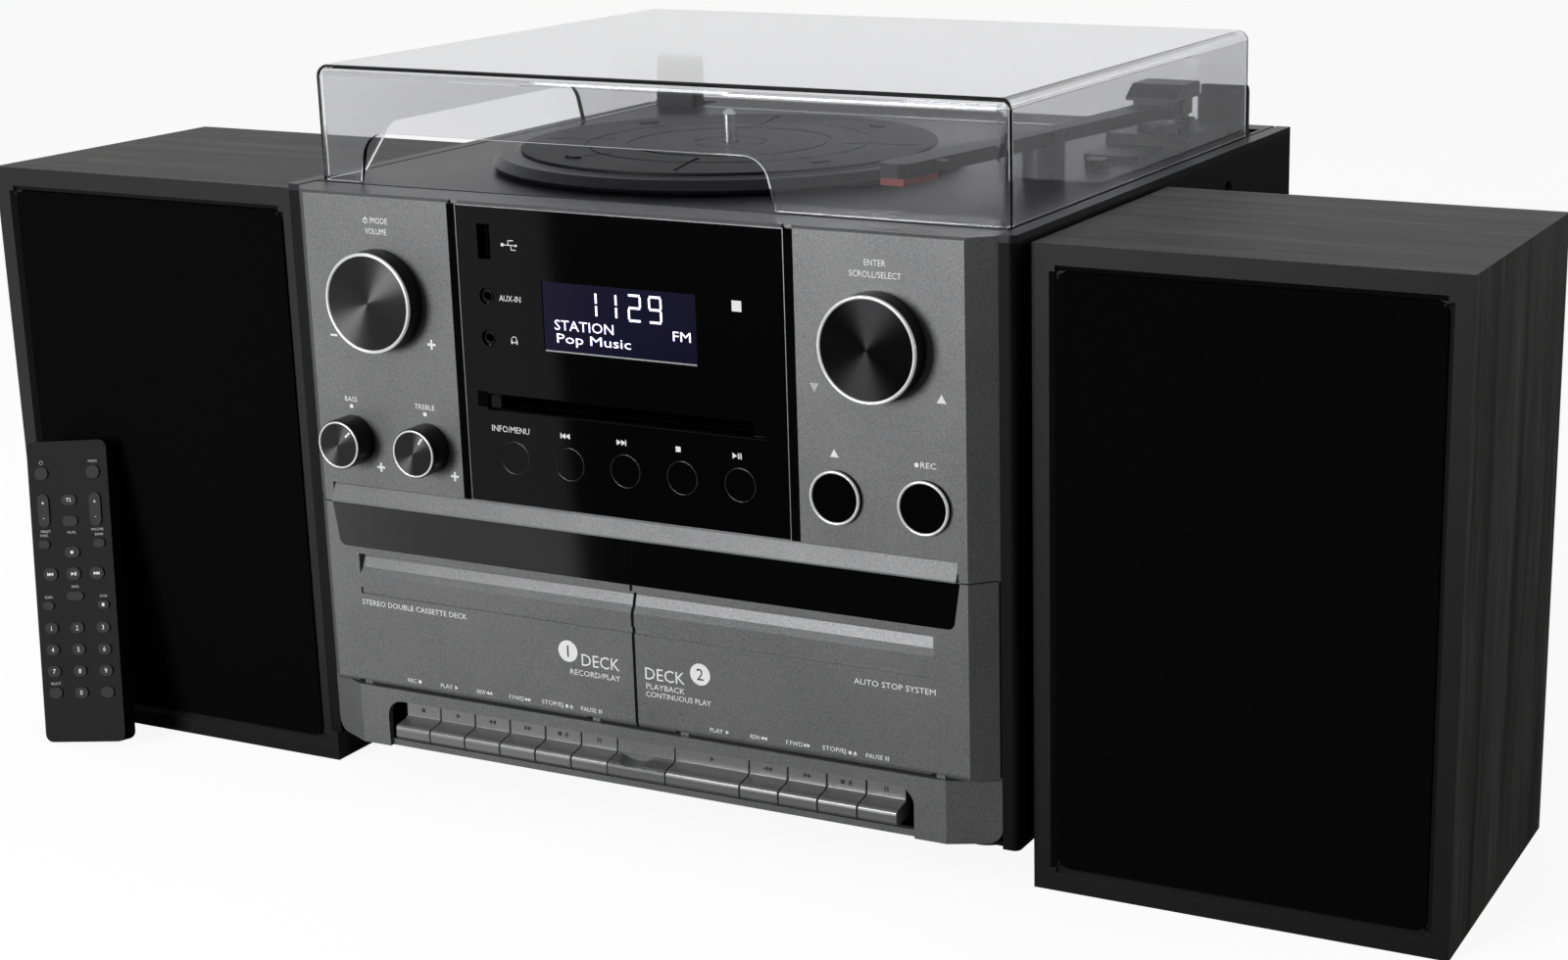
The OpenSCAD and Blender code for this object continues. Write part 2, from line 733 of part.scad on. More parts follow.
// Post that the parked arm lies on, open towards the platter.
rest_prong = 3.5;
rest_shelf_z = arm_under - gap;
arm_front_w = 8;
arm_back_w = 15;
function arm_x(d) = pivot_x + (elbow_x - pivot_x) * (pivot_d - d) / (pivot_d - elbow_d);
function arm_half(d) = arm_back_w / 2 + (arm_front_w - arm_back_w) / 2 * (pivot_d - d) / (pivot_d - elbow_d);
module arm_rest() color("#3a3b3f") unit() {
    far = rest_d + rest_prong;
    rod_z(rest_r, rest_x, rest_d, [deck_z, rest_shelf_z]);
    intersection() {
        rod_z(rest_r, rest_x, rest_d, [rest_shelf_z - over, arm_z + 4]);
        slab([arm_x(far) + arm_half(far) + 0.4, rest_x + rest_r], [rest_d - rest_prong, far],
            [rest_shelf_z - over, arm_z + 4]);
    }
}

// Posts under the deck that carry the disc drive.
cd_post_r = 4;
cd_top = slot_z + 14;
function cd_posts_x() = [-66, 66];
function cd_posts_d() = [50, 160];
module drive_posts() for (x = cd_posts_x(), y = cd_posts_d())
    rod_z(cd_post_r, x, y, [cd_top, deck_under]);

module spindle() color("#c9c9cc") unit() {
    rod_z(spindle_r, spindle_x, spindle_d, [deck_under, deck_z + spindle_h - 2]);
    translate([spindle_x, spindle_d, deck_z + spindle_h - 2])
        cylinder(r1 = spindle_r, r2 = spindle_r - 1.6, h = 2);
    rod_z(seat_r, spindle_x, spindle_d, [deck_z, deck_z + seat_t]);
}
seat_r = 7;
seat_t = 0.8;

// ---------------------------------------------------------------- platter drive

mat_t = 1.2;
step_t = 0.5;
platter_t = 1.8;
platter_up = mat_up - mat_t - step_t;
platter_top_z = deck_z + platter_up;
platter_low_z = deck_z + seat_t + gap;
step_r = mat_r + 1.6;
hub_r = 9;
// Sloping outer edge, above a shadow gap.
edge_in = 3.4;
edge_drop = 4;
skirt_z = deck_z + 1.6;
module platter() color("#17181a") unit() translate([spindle_x, spindle_d, 0]) rotate_extrude($fn = 128) polygon([
    [pin_hole, platter_low_z], [hub_r, platter_low_z], [hub_r, platter_top_z - platter_t],
    [drive_ring_r - wall, platter_top_z - platter_t], [drive_ring_r - wall, platter_low_z + 0.4],
    [drive_ring_r, platter_low_z + 0.4], [drive_ring_r, platter_top_z - platter_t],
    [platter_r - edge_in - platter_t, platter_top_z - platter_t], [platter_r - wall, skirt_z],
    [platter_r - 1, skirt_z], [platter_r, platter_top_z - edge_drop], [platter_r - edge_in, platter_top_z],
    [step_r + 2, platter_top_z], [step_r, platter_top_z + step_t], [pin_hole, platter_top_z + step_t]]);

// Rubber mat: sunken rings, four radial bars, and four pads with a line each.
mat_rings = [[16, 1.2], [45, 2.6], [65.4, 1.6]];
mat_cut = 0.5;
mat_turn = 14.5;
bar_w = 2.4;
line_w = 1.2;
pads = 4;
pad_at = 81;
pad_up = 0.8;
mat_z = deck_z + mat_up;
module platter_mat() color("#0e0e0f") unit() translate([spindle_x, spindle_d, 0]) {
    difference() {
        translate([0, 0, mat_z - mat_t]) cylinder(r = mat_r, h = mat_t, $fn = 128);
        translate([0, 0, mat_z - mat_t - over]) cylinder(r = spindle_r + 1, h = mat_t + 2 * over);
        for (m = mat_rings) translate([0, 0, mat_z - mat_cut]) difference() {
            cylinder(r = m[0] + m[1], h = over, $fn = 128);
            translate([0, 0, -over]) cylinder(r = m[0], h = 3 * over, $fn = 128);
        }
        for (n = [0 : pads - 1]) rotate([0, 0, mat_turn + n * 360 / pads]) {
            slab([54, mat_r - 6.5], [-bar_w / 2, bar_w / 2], [mat_z - mat_cut, mat_z + over]);
            rotate([0, 0, 180 / pads])
                slab([62, pad_at - 5], [-line_w / 2, line_w / 2], [mat_z - mat_cut, mat_z + over]);
        }
    }
    for (n = [0 : pads - 1]) rotate([0, 0, mat_turn + (n + 0.5) * 360 / pads]) translate([pad_at, 0, mat_z - 0.2])
        linear_extrude(pad_up + 0.2) round_rect([-2.5, 2.5], [-5, 5], 2.4);
}

belt_w = 2.4;
belt_z = platter_low_z + 0.8;
pulley_top = belt_z + belt_w + 0.6;
motor_top = deck_under;
motor_hole_r = pulley_r + 1;
motor_shaft_r = 1.2;
motor_l = 24;
module belt_loop(extra) hull() {
    translate([spindle_x, spindle_d]) circle(drive_ring_r + extra, $fn = 96);
    translate([motor_x, motor_d]) circle(pulley_r + extra, $fn = 32);
}
module drive_belt() color("#101010") unit() translate([0, 0, belt_z]) linear_extrude(belt_w) difference() {
    belt_loop(gap / 2 + belt_t);
    belt_loop(gap / 2);
}

module motor_pulley() color("#c8a64b") unit() {
    rod_z(pulley_r, motor_x, motor_d, [belt_z - 0.6, pulley_top]);
    rod_z(motor_shaft_r, motor_x, motor_d, [motor_top - motor_l + 4, belt_z]);
}

// Motor hung under the deck by its flange, with a bore for its shaft.
module drive_motor() color("#8e9196") unit() difference() {
    union() {
        rod_z(motor_r, motor_x, motor_d, [motor_top - motor_l, motor_top - 1.5]);
        rod_z(motor_r + 4, motor_x, motor_d, [motor_top - 1.5, motor_top]);
    }
    rod_z(motor_shaft_r + run, motor_x, motor_d, [motor_top - motor_l + 3.5, motor_top + over]);
}

// ---------------------------------------------------------------- tonearm

base_x = [pivot_x - 21.8, pivot_x + 18.2];
base_d = [pivot_d - 19.5, cover_back() - cover_t - leaf_t - 4];
base_up = 8.1;
block_x = [pivot_x - 17.8, pivot_x + 8.2];
block_d = [base_d[0] - 36, base_d[0]];
block_up = 3;
turret_r = 12;
pivot_shaft_r = 4;
base_top = deck_z + base_up;
module tonearm_base() color("#2c2d30") unit() difference() {
    union() {
        translate([0, 0, deck_z]) linear_extrude(base_up) round_rect(base_x, base_d, 3);
        translate([0, 0, deck_z]) linear_extrude(block_up) round_rect(block_x, [block_d[0], block_d[1] + 4], 3);
        cue_bracket();
    }
    rod_z(pivot_shaft_r + run, pivot_x, pivot_d, [deck_z + 2, base_top + over]);
}

// Bracket of the cue lever at the outer side of the base.
cue_x = [base_x[1] - 5, base_x[1] - 1];
cue_d = base_d[0] + 10;
cue_up = base_up + 5;
cue_r = 3.2;
cue_pin_r = 1.5;
cue_z = deck_z + cue_up;
cue_l = 24;
module cue_bracket() difference() {
    for (x = [cue_x[0] - 2.3, cue_x[1] + 0.3]) {
        slab([x, x + 2], [cue_d - cue_r, cue_d + cue_r], [base_top - over, cue_z]);
        rod_x(cue_r, [x, x + 2], cue_d, cue_z);
    }
    rod_x(cue_pin_r + run, [cue_x[0] - 4, cue_x[1] + 4], cue_d, cue_z);
}

module cue_lever() color("#2c2d30") unit() {
    rod_x(cue_r, cue_x, cue_d, cue_z);
    rod_x(cue_pin_r, [cue_x[0] - 2, cue_x[1] + 2], cue_d, cue_z);
    slab([cue_x[0] + 1, cue_x[1] - 1], [cue_d - cue_l, cue_d], [cue_z - 1.5, cue_z + 1.5]);
    slab([cue_x[0], cue_x[1]], [cue_d - cue_l - 5, cue_d - cue_l + 4], [cue_z - 2, cue_z + 2]);
}

// Turret on an upright shaft, with two cheeks for the arm's cross pin.
cheek_t = 2.5;
cheek_x = 9.5;
cross_r = 1.5;
turret_t = 2.5;
module tonearm_yoke() color("#26272a") unit() translate([pivot_x, pivot_d, 0]) difference() {
    union() {
        rod_z(pivot_shaft_r, 0, 0, [deck_z + 2.5, base_top + 1]);
        rod_z(turret_r, 0, 0, [base_top + gap, base_top + gap + turret_t]);
        both() {
            slab([cheek_x, cheek_x + cheek_t], [-4, 4], [base_top + gap + turret_t - over, arm_z]);
            rod_x(4, [cheek_x, cheek_x + cheek_t], 0, arm_z);
        }
    }
    rod_x(cross_r + run, [-cheek_x - 2 * cheek_t, cheek_x + 2 * cheek_t], 0, arm_z);
}

// Arm from above: a tapered beam, an angled headshell and a hood behind the pivot.
shell_w = 15;
shell_nose = 9;
hood_x = 13;
hood_back = 16;
hood_up = 12;
hood_front = 14;
shell_turn = atan2(elbow_x - stylus_x, elbow_d - stylus_d);
shell_l = norm([elbow_x - stylus_x, elbow_d - stylus_d]) + shell_nose;
arm_turn = atan2(pivot_x - elbow_x, pivot_d - elbow_d);
arm_l = norm([pivot_x - elbow_x, pivot_d - elbow_d]);
// Side view of the hood from one height up.
module hood_outline(low) polygon([[-hood_front, low], [-hood_front, 6.5], [-hood_front + 7, hood_up - 1],
    [-hood_front + 9, hood_up], [hood_back - 1, hood_up], [hood_back, hood_up - 1], [hood_back, low]]);
module tonearm_tube() color("#303135") unit() {
    // Beam and headshell with a slanted nose.
    translate([0, 0, arm_under]) linear_extrude(arm_h) {
        translate([pivot_x, pivot_d]) rotate(-arm_turn)
            polygon([[-arm_back_w / 2, 0], [-arm_front_w / 2, -arm_l], [arm_front_w / 2, -arm_l], [arm_back_w / 2, 0]]);
        translate([elbow_x, elbow_d]) rotate(-shell_turn)
            polygon([[-arm_front_w / 2, 6], [-shell_w / 2, -12], [-shell_w / 2, -shell_l + 4],
                [-shell_w / 2 + 3, -shell_l], [shell_w / 2 - 3, -shell_l], [shell_w / 2, -shell_l + 4],
                [shell_w / 2, -12], [arm_front_w / 2, 6]]);
    }
    // Hood with a slanted front, between and above the cheeks, on the cross pin.
    translate([pivot_x, pivot_d, arm_z]) {
        plate_x([-cheek_x + gap, cheek_x - gap]) hood_outline(-arm_h / 2 - 0.5);
        plate_x([-hood_x, hood_x]) hood_outline(5);
        rod_x(cross_r, [-cheek_x - cheek_t, cheek_x + cheek_t], 0, 0);
    }
    // Finger lift.
    translate([elbow_x, elbow_d, arm_under]) rotate([0, 0, -shell_turn])
        slab([shell_w / 2 - over, shell_w / 2 + 6], [-shell_l + 20, -shell_l + 25], [arm_h - 2, arm_h - 0.5]);
}

// Cartridge under the nose of the headshell, with its stylus.
stylus_z = mat_z + stylus_gap;
cart_l = 24;
cart_w = 12;
stylus_l = 1.4;
module cartridge() color("#7c2a1e") unit()
    translate([elbow_x, elbow_d, 0]) rotate([0, 0, -shell_turn]) translate([0, -shell_l + shell_nose, 0]) {
        slab([-cart_w / 2, cart_w / 2], [-shell_nose + 2, cart_l - shell_nose + 2], [stylus_z + stylus_l, arm_under]);
        translate([0, 0, stylus_z]) cylinder(r1 = 0.4, r2 = 1, h = stylus_l);
    }

// Speed selector that slides in a slot in the deck.
speed_x = pivot_x - 1.8;
speed_travel = 6;
speed_l = 10;
speed_clear = 9;
speed_d = block_d[0] - speed_clear - speed_travel - speed_l / 2;
speed_stem = [3, 4];
module speed_slot() slab([speed_x - speed_stem[0] / 2 - run, speed_x + speed_stem[0] / 2 + run],
    [speed_d - speed_stem[1] / 2 - speed_travel - gap, speed_d + speed_stem[1] / 2 + speed_travel + gap],
    [deck_under - over, deck_z + over]);
module speed_switch() color("#1a1a1c") unit() {
    slab([speed_x - speed_stem[0] / 2, speed_x + speed_stem[0] / 2],
        [speed_d - speed_stem[1] / 2, speed_d + speed_stem[1] / 2], [deck_under - 1, deck_z + 2]);
    for (z = [[deck_z + 0.2, deck_z + 4.5], [deck_under - 2, deck_under - 0.2]])
        slab([speed_x - 4, speed_x + 4], [speed_d - speed_l / 2, speed_d + speed_l / 2], z);
}

// ---------------------------------------------------------------- dust cover

cover_z = rim_z + gap;
cover_top = cover_z + cover_h;
front_cut_x = [-147.3, 64];
front_cut_top_x = [-133, 49];
left_cut_d = [54, 236];
left_cut_top_d = [80, 221];
cut_corner = 12;
// A closed box with round upright and upper edges.
module cover_block(inset) hull() {
    for (x = [-1, 1], y = [cover_front + cover_r, cover_back() - cover_r])
        translate([x * (cover_x - cover_r), y, 0]) {
            translate([0, 0, cover_z - (inset > 0 ? over : 0)]) cylinder(r = cover_r - inset, h = over, $fn = 32);
            translate([0, 0, cover_top - cover_r]) sphere(r = cover_r - inset, $fn = 32);
        }
}
// Outline of a cut-out: slanted sides and round upper corners.
module cut_outline(low, high, h) hull() {
    translate([low[0], cover_z - over]) square([low[1] - low[0], over]);
    for (x = high) translate([x, cover_z + h - cut_corner]) circle(cut_corner, $fn = 32);
}
module dust_cover() color("#9fa3a833") unit() difference() {
    cover_block(0);
    cover_block(cover_t);
    plate_y([cover_front - over, cover_front + cover_r]) cut_outline(front_cut_x, front_cut_top_x, cutout_h);
    plate_x([-cover_x - over, -cover_x + cover_r]) cut_outline(left_cut_d, left_cut_top_d, cutout_h - 2.6);
}

// Two clips that grip the cover's back wall and turn in the deck's slots.
clip_up = 24;
clip_round = clip_back / 2;
module clip_outline(front, low, high) {
    translate([front, low]) square([clip_back, high - clip_round - low]);
    translate([front, low]) square([clip_back - clip_round, high - low]);
    translate([front + clip_back - clip_round, high - clip_round]) circle(clip_round);
}
module cover_hinges() color("#151516") unit() both() {
    clip_end = hinge_slot_x[1] - 0.6;
    // Thick outer block with a round upper edge, and a thin inner leaf.
    plate_x([hinge_slot_x[0] + 0.6, clip_end]) clip_outline(cover_back(), cover_z - 1.5, rim_z + clip_up);
    slab([hinge_slot_x[0] + 0.6, cover_x - cover_r], [cover_back() - cover_t - leaf_t, cover_back() - cover_t],
        [cover_z - 1.5, rim_z + clip_up - 4]);
    slab([hinge_slot_x[0] + 0.6, cover_x - cover_r], [cover_back() - cover_t - leaf_t, cover_back() + leaf_t],
        [cover_z - 2.5, cover_z]);
    // Barrel with a trunnion at each end.
    rod_x(barrel_r, [hinge_slot_x[0] + 0.6, clip_end], hinge_axis_d, hinge_axis_z);
    slab([hinge_slot_x[0] + 0.6, cover_x - cover_r], [cover_back() + 1, hinge_axis_d], [hinge_axis_z - 1, hinge_axis_z + 2.4]);
    rod_x(trunnion_r, [hinge_slot_x[0] - trunnion_l + gap, hinge_slot_x[1] + trunnion_l - gap], hinge_axis_d, hinge_axis_z);
}

// ---------------------------------------------------------------- knobs and buttons

// A large knob: a face with a shallow dish and a skirt, on a bore.
knob_off = knob_press + 0.4;
module large_knob(x) color("#2a2a2c") unit() difference() {
    union() {
        rod_y(knob_r, x, [-knob_out + 0.8, -knob_off], knob_z);
        translate([x, -knob_out, knob_z]) rotate([-90, 0, 0]) cylinder(r1 = knob_r - 0.8, r2 = knob_r, h = 0.8);
    }
    rod_y(knob_shaft_r - 0.6 + run, x, [-knob_out + 2.5, 0], knob_z);
}
module volume_knob() large_knob(-knob_x);
module enter_knob() large_knob(knob_x);

// Shaft of a large knob: it slides in the fascia, and the knob turns on its neck.
encoder_d = board_d - 6;
module knob_shaft(x) color("#9a9a9a") unit() {
    rod_y(knob_shaft_r - 0.6, x, [-knob_out + 2.5 + gap, 0], knob_z);
    rod_y(knob_shaft_r, x, [-0.6, encoder_d + 2], knob_z);
}
module volume_shaft() knob_shaft(-knob_x);
module enter_shaft() knob_shaft(knob_x);

module tone_knob(x) color("#2a2a2c") unit() {
    rod_y(tone_r, x, [-tone_out + 0.6, -0.4], low_z);
    translate([x, -tone_out, low_z]) rotate([-90, 0, 0]) cylinder(r1 = tone_r - 0.6, r2 = tone_r, h = 0.6);
    rod_y(tone_shaft_r, x, [-1, encoder_d + 2], low_z);
}
module bass_knob() tone_knob(-outer_x);
module treble_knob() tone_knob(-near_x);

// A push button: cap, collar behind the panel and a stem towards its switch.
module push_button(x, r, front, back) unit() {
    rod_y(r, x, [front, back + gap], low_z);
    rod_y(r + collar, x, [back + gap, back + gap + 1], low_z);
    rod_y(2.5, x, [back, encoder_d - press - 0.2], low_z);
}
collar = 1.2;
module transport_button(n) color("#0c0c0e") push_button(small_x(n), small_r, 0.2, wall + flange_t);
module info_button() transport_button(-2);
module previous_button() transport_button(-1);
module next_button() transport_button(0);
module stop_button() transport_button(1);
module play_button() transport_button(2);
module eject_button() color("#202022") push_button(near_x, button_r, -2, wall);
module record_button() color("#202022") push_button(outer_x, button_r, -2, wall);

// ---------------------------------------------------------------- cassette doors

groove_z = [53.2, 62.8];
groove_end = 145.2;
grip_d = 2.6;
line_z = [43.8, 47];
tray_h = tape_h - 5;
tape_front = wall + grip_d + 0.2;
// Outline of a door from above, with the slanted outer end.
module door_plan() polygon([[door_middle, 0], [flat_x, 0], [door_end, door_end - flat_x],
    [door_end - wall * sqrt(2), door_end - flat_x], [flat_x - wall * (sqrt(2) - 1), wall], [door_middle, wall]]);
module door_right() difference() {
    union() {
        intersection() {
            translate([0, 0, door_z]) linear_extrude(door_h) door_plan();
            // Round lower front edge about the hinge.
            union() {
                rod_x(door_edge_r, [0, unit_w], hinge_d, hinge_z);
                slab([0, unit_w], [hinge_d - 0.01, 2 * chamfer], [door_z, hinge_z]);
                slab([0, unit_w], [-over, 2 * chamfer], [hinge_z, door_top]);
            }
        }
        hinge_lugs();
        tape_tray();
        // Backing of the finger groove.
        plate_x([door_middle, groove_end + 2]) polygon([[wall - 0.5, door_z + groove_z[0] - 3],
            [wall + grip_d, door_z + groove_z[0]], [wall + grip_d, door_z + groove_z[1]],
            [wall - 0.5, door_z + groove_z[1] + 3]]);
    }
    // Finger groove: an upright back and a sloping floor.
    plate_x([door_middle - over, groove_end]) polygon([[-over, door_z + groove_z[0]], [0, door_z + groove_z[0]],
        [grip_d - 0.8, door_z + groove_z[0] + 3], [grip_d + 0.6, door_z + groove_z[1] - 2],
        [grip_d + 0.6, door_z + groove_z[1]], [-over, door_z + groove_z[1]]]);
    slab([door_middle - over, groove_end], [-over, 0.8], [door_z + line_z[0], door_z + line_z[1]]);
    door_window_cut(0);
    hinge_pockets();
}
window_lap = 1.6;
window_corner = 3.5;
// Rebate for the glossy window along the top of a door.
module door_window_cut(shrink) plate_y([shrink > 0 ? 0 : -over, window_lap - shrink]) {
    low = door_top - door_window_h + shrink;
    high = door_top + (shrink > 0 ? -0.2 : over);
    edge = flat_x - 6 - shrink;
    polygon([[shrink > 0 ? door_middle : -over, low], [edge - window_corner, low],
        [edge, low + window_corner], [edge + 2.4, high], [shrink > 0 ? door_middle : -over, high]]);
    translate([edge - window_corner, low + window_corner]) circle(window_corner);
}
module hinge_lugs() for (off = [-ear_offset, ear_offset], side = [-1, 1]) {
    x = bay_x() + off + side * (pocket_w / 2 + 1.5);
    rod_x(door_edge_r - 0.6, [x - 1.5, x + 1.5], hinge_d, hinge_z);
}
module hinge_pockets() for (off = [-ear_offset, ear_offset]) {
    x = [bay_x() + off - pocket_w / 2, bay_x() + off + pocket_w / 2];
    rod_x_tube(x);
    slab(x, [-over, hinge_d + 2 * ear_r], [door_z - over, hinge_z - 1.2]);
    slab(x, [hinge_d, hinge_d + 2 * ear_r], [door_z - over, hinge_z + pocket_r]);
}
// Room for an ear, all round the hinge pin.
module rod_x_tube(x) difference() {
    rod_x(pocket_r, x, hinge_d, hinge_z);
    rod_x(hinge_r, [x[0] - over, x[1] + over], hinge_d, hinge_z);
}
module hinge_pins() for (off = [-ear_offset, ear_offset])
    rod_x(hinge_r, [bay_x() + off - pocket_w / 2 - 1, bay_x() + off + pocket_w / 2 + 1], hinge_d, hinge_z);
// Tray behind the door that holds the cassette, behind the finger groove.
module tape_tray() {
    back = tape_front + tape_t;
    for (side = [-1, 1]) {
        wall_x = bay_x() + side * (tape_w / 2 + tray_wall / 2);
        lip_x = bay_x() + side * (tape_w / 2 - 2);
        slab([wall_x - tray_wall / 2, wall_x + tray_wall / 2], [wall - 0.5, back + tray_wall],
            [door_z + 4, door_z + tray_h]);
        slab([lip_x - 2 - over, lip_x + 2 + over], [back, back + tray_wall], [door_z + 4, door_z + tray_h]);
    }
    slab([bay_x() - tape_w / 2, bay_x() + tape_w / 2], [wall - 0.5, back + tray_wall], [door_z + 4, door_z + 4 + tray_wall]);
}
module cassette_door_right() color("#5a5c60") unit() {
    door_right();
    hinge_pins();
}
module cassette_door_left() color("#5a5c60") unit() mirror([1, 0, 0]) {
    door_right();
    hinge_pins();
}
module door_window_right() color("#0a0a0c") unit() door_window_cut(0.05);
module door_window_left() color("#0a0a0c") unit() mirror([1, 0, 0]) door_window_cut(0.05);

// ---------------------------------------------------------------- piano keys

barrel_key_r = 3.2;
rod_r = 1.5;
// One key between two borders, on the rod behind the fascia.
module piano_key(x) color("#7b7d80") unit() difference() {
    x0 = x[0] + key_gap / 2;
    x1 = x[1] - key_gap / 2;
    union() {
        plate_x([x0, x1]) key_profile(pan_d - 3);
        plate_x([x0 + 1, x1 - 1]) polygon([[pan_d - 3 - over, key_top - 1], [key_axis_d, key_axis_z + 2],
            [key_axis_d, key_axis_z - 2], [pan_d - 3 - over, key_bottom + 6]]);
        rod_x(barrel_key_r, [x0 + 1, x1 - 1], key_axis_d, key_axis_z);
    }
    rod_x(rod_r + run, [x0 - over, x1 + over], key_axis_d, key_axis_z);
}
function deck_1(n) = [filler_x[0] - (6 - n) * key_pitch, filler_x[0] - (5 - n) * key_pitch];
function deck_2(n) = n == 0 ? [filler_x[1], filler_x[1] + wide_key_w]
    : [filler_x[1] + wide_key_w + (n - 1) * key_pitch, filler_x[1] + wide_key_w + n * key_pitch];
module key_record_1() piano_key(deck_1(0));
module key_play_1() piano_key(deck_1(1));
module key_rewind_1() piano_key(deck_1(2));
module key_forward_1() piano_key(deck_1(3));
module key_stop_1() piano_key(deck_1(4));
module key_pause_1() piano_key(deck_1(5));
module key_play_2() piano_key(deck_2(0));
module key_rewind_2() piano_key(deck_2(1));
module key_forward_2() piano_key(deck_2(2));
module key_stop_2() piano_key(deck_2(3));
module key_pause_2() piano_key(deck_2(4));

// Two tape mechanisms on the back of the pan, with the keys' rods.
mech_d = [24, 66];
mech_x = [9, 152];
module cassette_mechanisms() color("#6d6f73") unit() {
    both() {
        slab([mech_x[0], mech_x[1]], mech_d, [lower_top, door_top - 6]);
        for (x = [mech_x[0] + 7, mech_x[1] - 4], z = [lower_top + 6, door_top - 12])
            rod_y(3.5, x, [pan_back, mech_d[0] + over], z);
        for (off = [-21.2, 21.2])
            rod_y(4, bay_x() + off, [tape_front + tape_t + tray_wall + 0.6, mech_d[0] + over], door_z + 34);
    }
    key_rod([deck_1(0)[0] - 4, filler_x[0] + 4]);
    key_rod([filler_x[1] - 4, deck_2(4)[1] + 3]);
}
// A rod on two hangers below the mechanism.
module key_rod(x) {
    rod_x(rod_r, x, key_axis_d, key_axis_z);
    for (x0 = [x[0], x[1] - 2.5]) slab([x0, x0 + 2.5], [key_axis_d - 3, key_axis_d + 4],
        [key_axis_z - 4, lower_top + over]);
}

// ---------------------------------------------------------------- inner units

// Disc drive behind the slot, hung on the deck's posts.
cd_x = 74;
cd_d = [9, 178];
module cd_drive() color("#8a8c90") unit() difference() {
    slab([-cd_x, cd_x], cd_d, [slot_z - 12, cd_top]);
    slab([-slot_x, slot_x], [cd_d[0] - over, cd_d[0] + 135], [slot_z - slot_h / 2, slot_z + slot_h / 2]);
}

// Circuit boards: the main one on pegs with its transformer, and one behind the controls.
board_z = floor_z + 9;
main_x = 140;
main_d = [90, 310];
module main_board() color("#2f6b3c") unit() {
    slab([-main_x, main_x], main_d, [board_z, board_z + 1.6]);
    for (x = [-main_x + 8, main_x - 8], y = [main_d[0] + 8, main_d[1] - 8]) rod_z(3, x, y, [floor_z, board_z]);
    slab([60, 125], [220, 285], [board_z + 1.6, board_z + 55]);
    for (x = [-90, -60, -30]) rod_z(9, x, 250, [board_z + 1.6, board_z + 30]);
    both() {
        slab([display_x + 6, inner_x - 9], [board_d, board_d + 1.6], [ledge_top + 4, fascia_top - 6]);
        control_body(knob_x, knob_z, knob_shaft_r, knob_press);
    }
    for (x = [-outer_x, -near_x]) control_body(x, low_z, tone_shaft_r, 0);
    for (x = [outer_x, near_x]) rod_y(4, x, [encoder_d, board_d], low_z);
    // Strip that carries the switches of the transport buttons.
    slab([-display_x - 7, display_x + 7], [board_d, board_d + 1.6], [ledge_top + 4, slot_z - 14]);
    for (n = [-2 : 2]) rod_y(4, small_x(n), [encoder_d, board_d], low_z);
}
// Body of an encoder or potentiometer, with a bore for its shaft.
module control_body(x, z, r, travel) difference() {
    rod_y(8, x, [encoder_d - 8, board_d], z);
    rod_y(r + run, x, [encoder_d - 8 - over, encoder_d + 2 + travel + gap], z);
}

// ---------------------------------------------------------------- speakers

grille_r = 5;
grille_gap = 0.2;
bevel = 2.5;
driver_z = speaker_h * 0.5;
cone_r = woofer_r - 8;
// The left and right speakers are alike; side is -1 or 1.
module at_speaker(side) translate([side * (speaker_x + speaker_w / 2), speaker_y, 0]) children();
grille_half = speaker_w / 2 - frame_side;
baffle_d = grille_pocket;
module speaker_cabinets() color("#232325") for (side = [-1, 1]) at_speaker(side) difference() {
    slab([-speaker_w / 2, speaker_w / 2], [0, speaker_d], [0, speaker_h]);
    plate_y([-over, baffle_d]) round_rect([-grille_half, grille_half], [frame_side, speaker_h - frame_top], grille_r);
    // Bevelled edge round the grille.
    bevel_cut();
    slab([-speaker_w / 2 + board_t, speaker_w / 2 - board_t], [baffle_d + board_t, speaker_d - board_t],
        [board_t, speaker_h - board_t]);
    rod_y(cone_r + 2, 0, [baffle_d - over, baffle_d + board_t + over], driver_z);
}
module bevel_cut() {
    for (side = [-1, 1]) plate_z_bevel(side);
    plate_x([-grille_half, grille_half]) {
        polygon([[-over, frame_side - bevel - over], [bevel, frame_side], [bevel, frame_side + over], [-over, frame_side + over]]);
        polygon([[-over, speaker_h - frame_top + bevel + over], [bevel, speaker_h - frame_top],
            [bevel, speaker_h - frame_top - over], [-over, speaker_h - frame_top - over]]);
    }
}
module plate_z_bevel(side) translate([0, 0, frame_side]) linear_extrude(speaker_h - frame_top - frame_side)
    polygon([[side * (grille_half + bevel + over), -over], [side * grille_half, bevel],
        [side * (grille_half - over), bevel], [side * (grille_half - over), -over]]);

// Cloth-covered grille boards, held on pegs in the baffle.
module speaker_grilles() color("#0b0b0c") for (side = [-1, 1]) at_speaker(side) {
    plate_y([baffle_d - grille_back - grille_t, baffle_d - grille_back]) round_rect(
        [-grille_half + grille_gap, grille_half - grille_gap],
        [frame_side + grille_gap, speaker_h - frame_top - grille_gap], grille_r - grille_gap);
    for (x = [-grille_half + 10, grille_half - 10], z = [frame_side + 10, speaker_h - frame_top - 10])
        rod_y(3, x, [baffle_d - grille_back - over, baffle_d], z);
}

// Woofers on the baffles: rim, cone and magnet.
module speaker_drivers() color("#3b3b3e") for (side = [-1, 1]) at_speaker(side)
    translate([0, baffle_d, driver_z]) rotate([-90, 0, 0]) rotate_extrude() polygon([
        [0, 16], [14, 14], [cone_r - 6, 1], [cone_r - 4, -1.2], [woofer_r, -1.2], [woofer_r, 0],
        [cone_r + 1, 0], [cone_r - 3, board_t + 4], [34, 40], [34, 62], [0, 62]]);

// ---------------------------------------------------------------- remote control

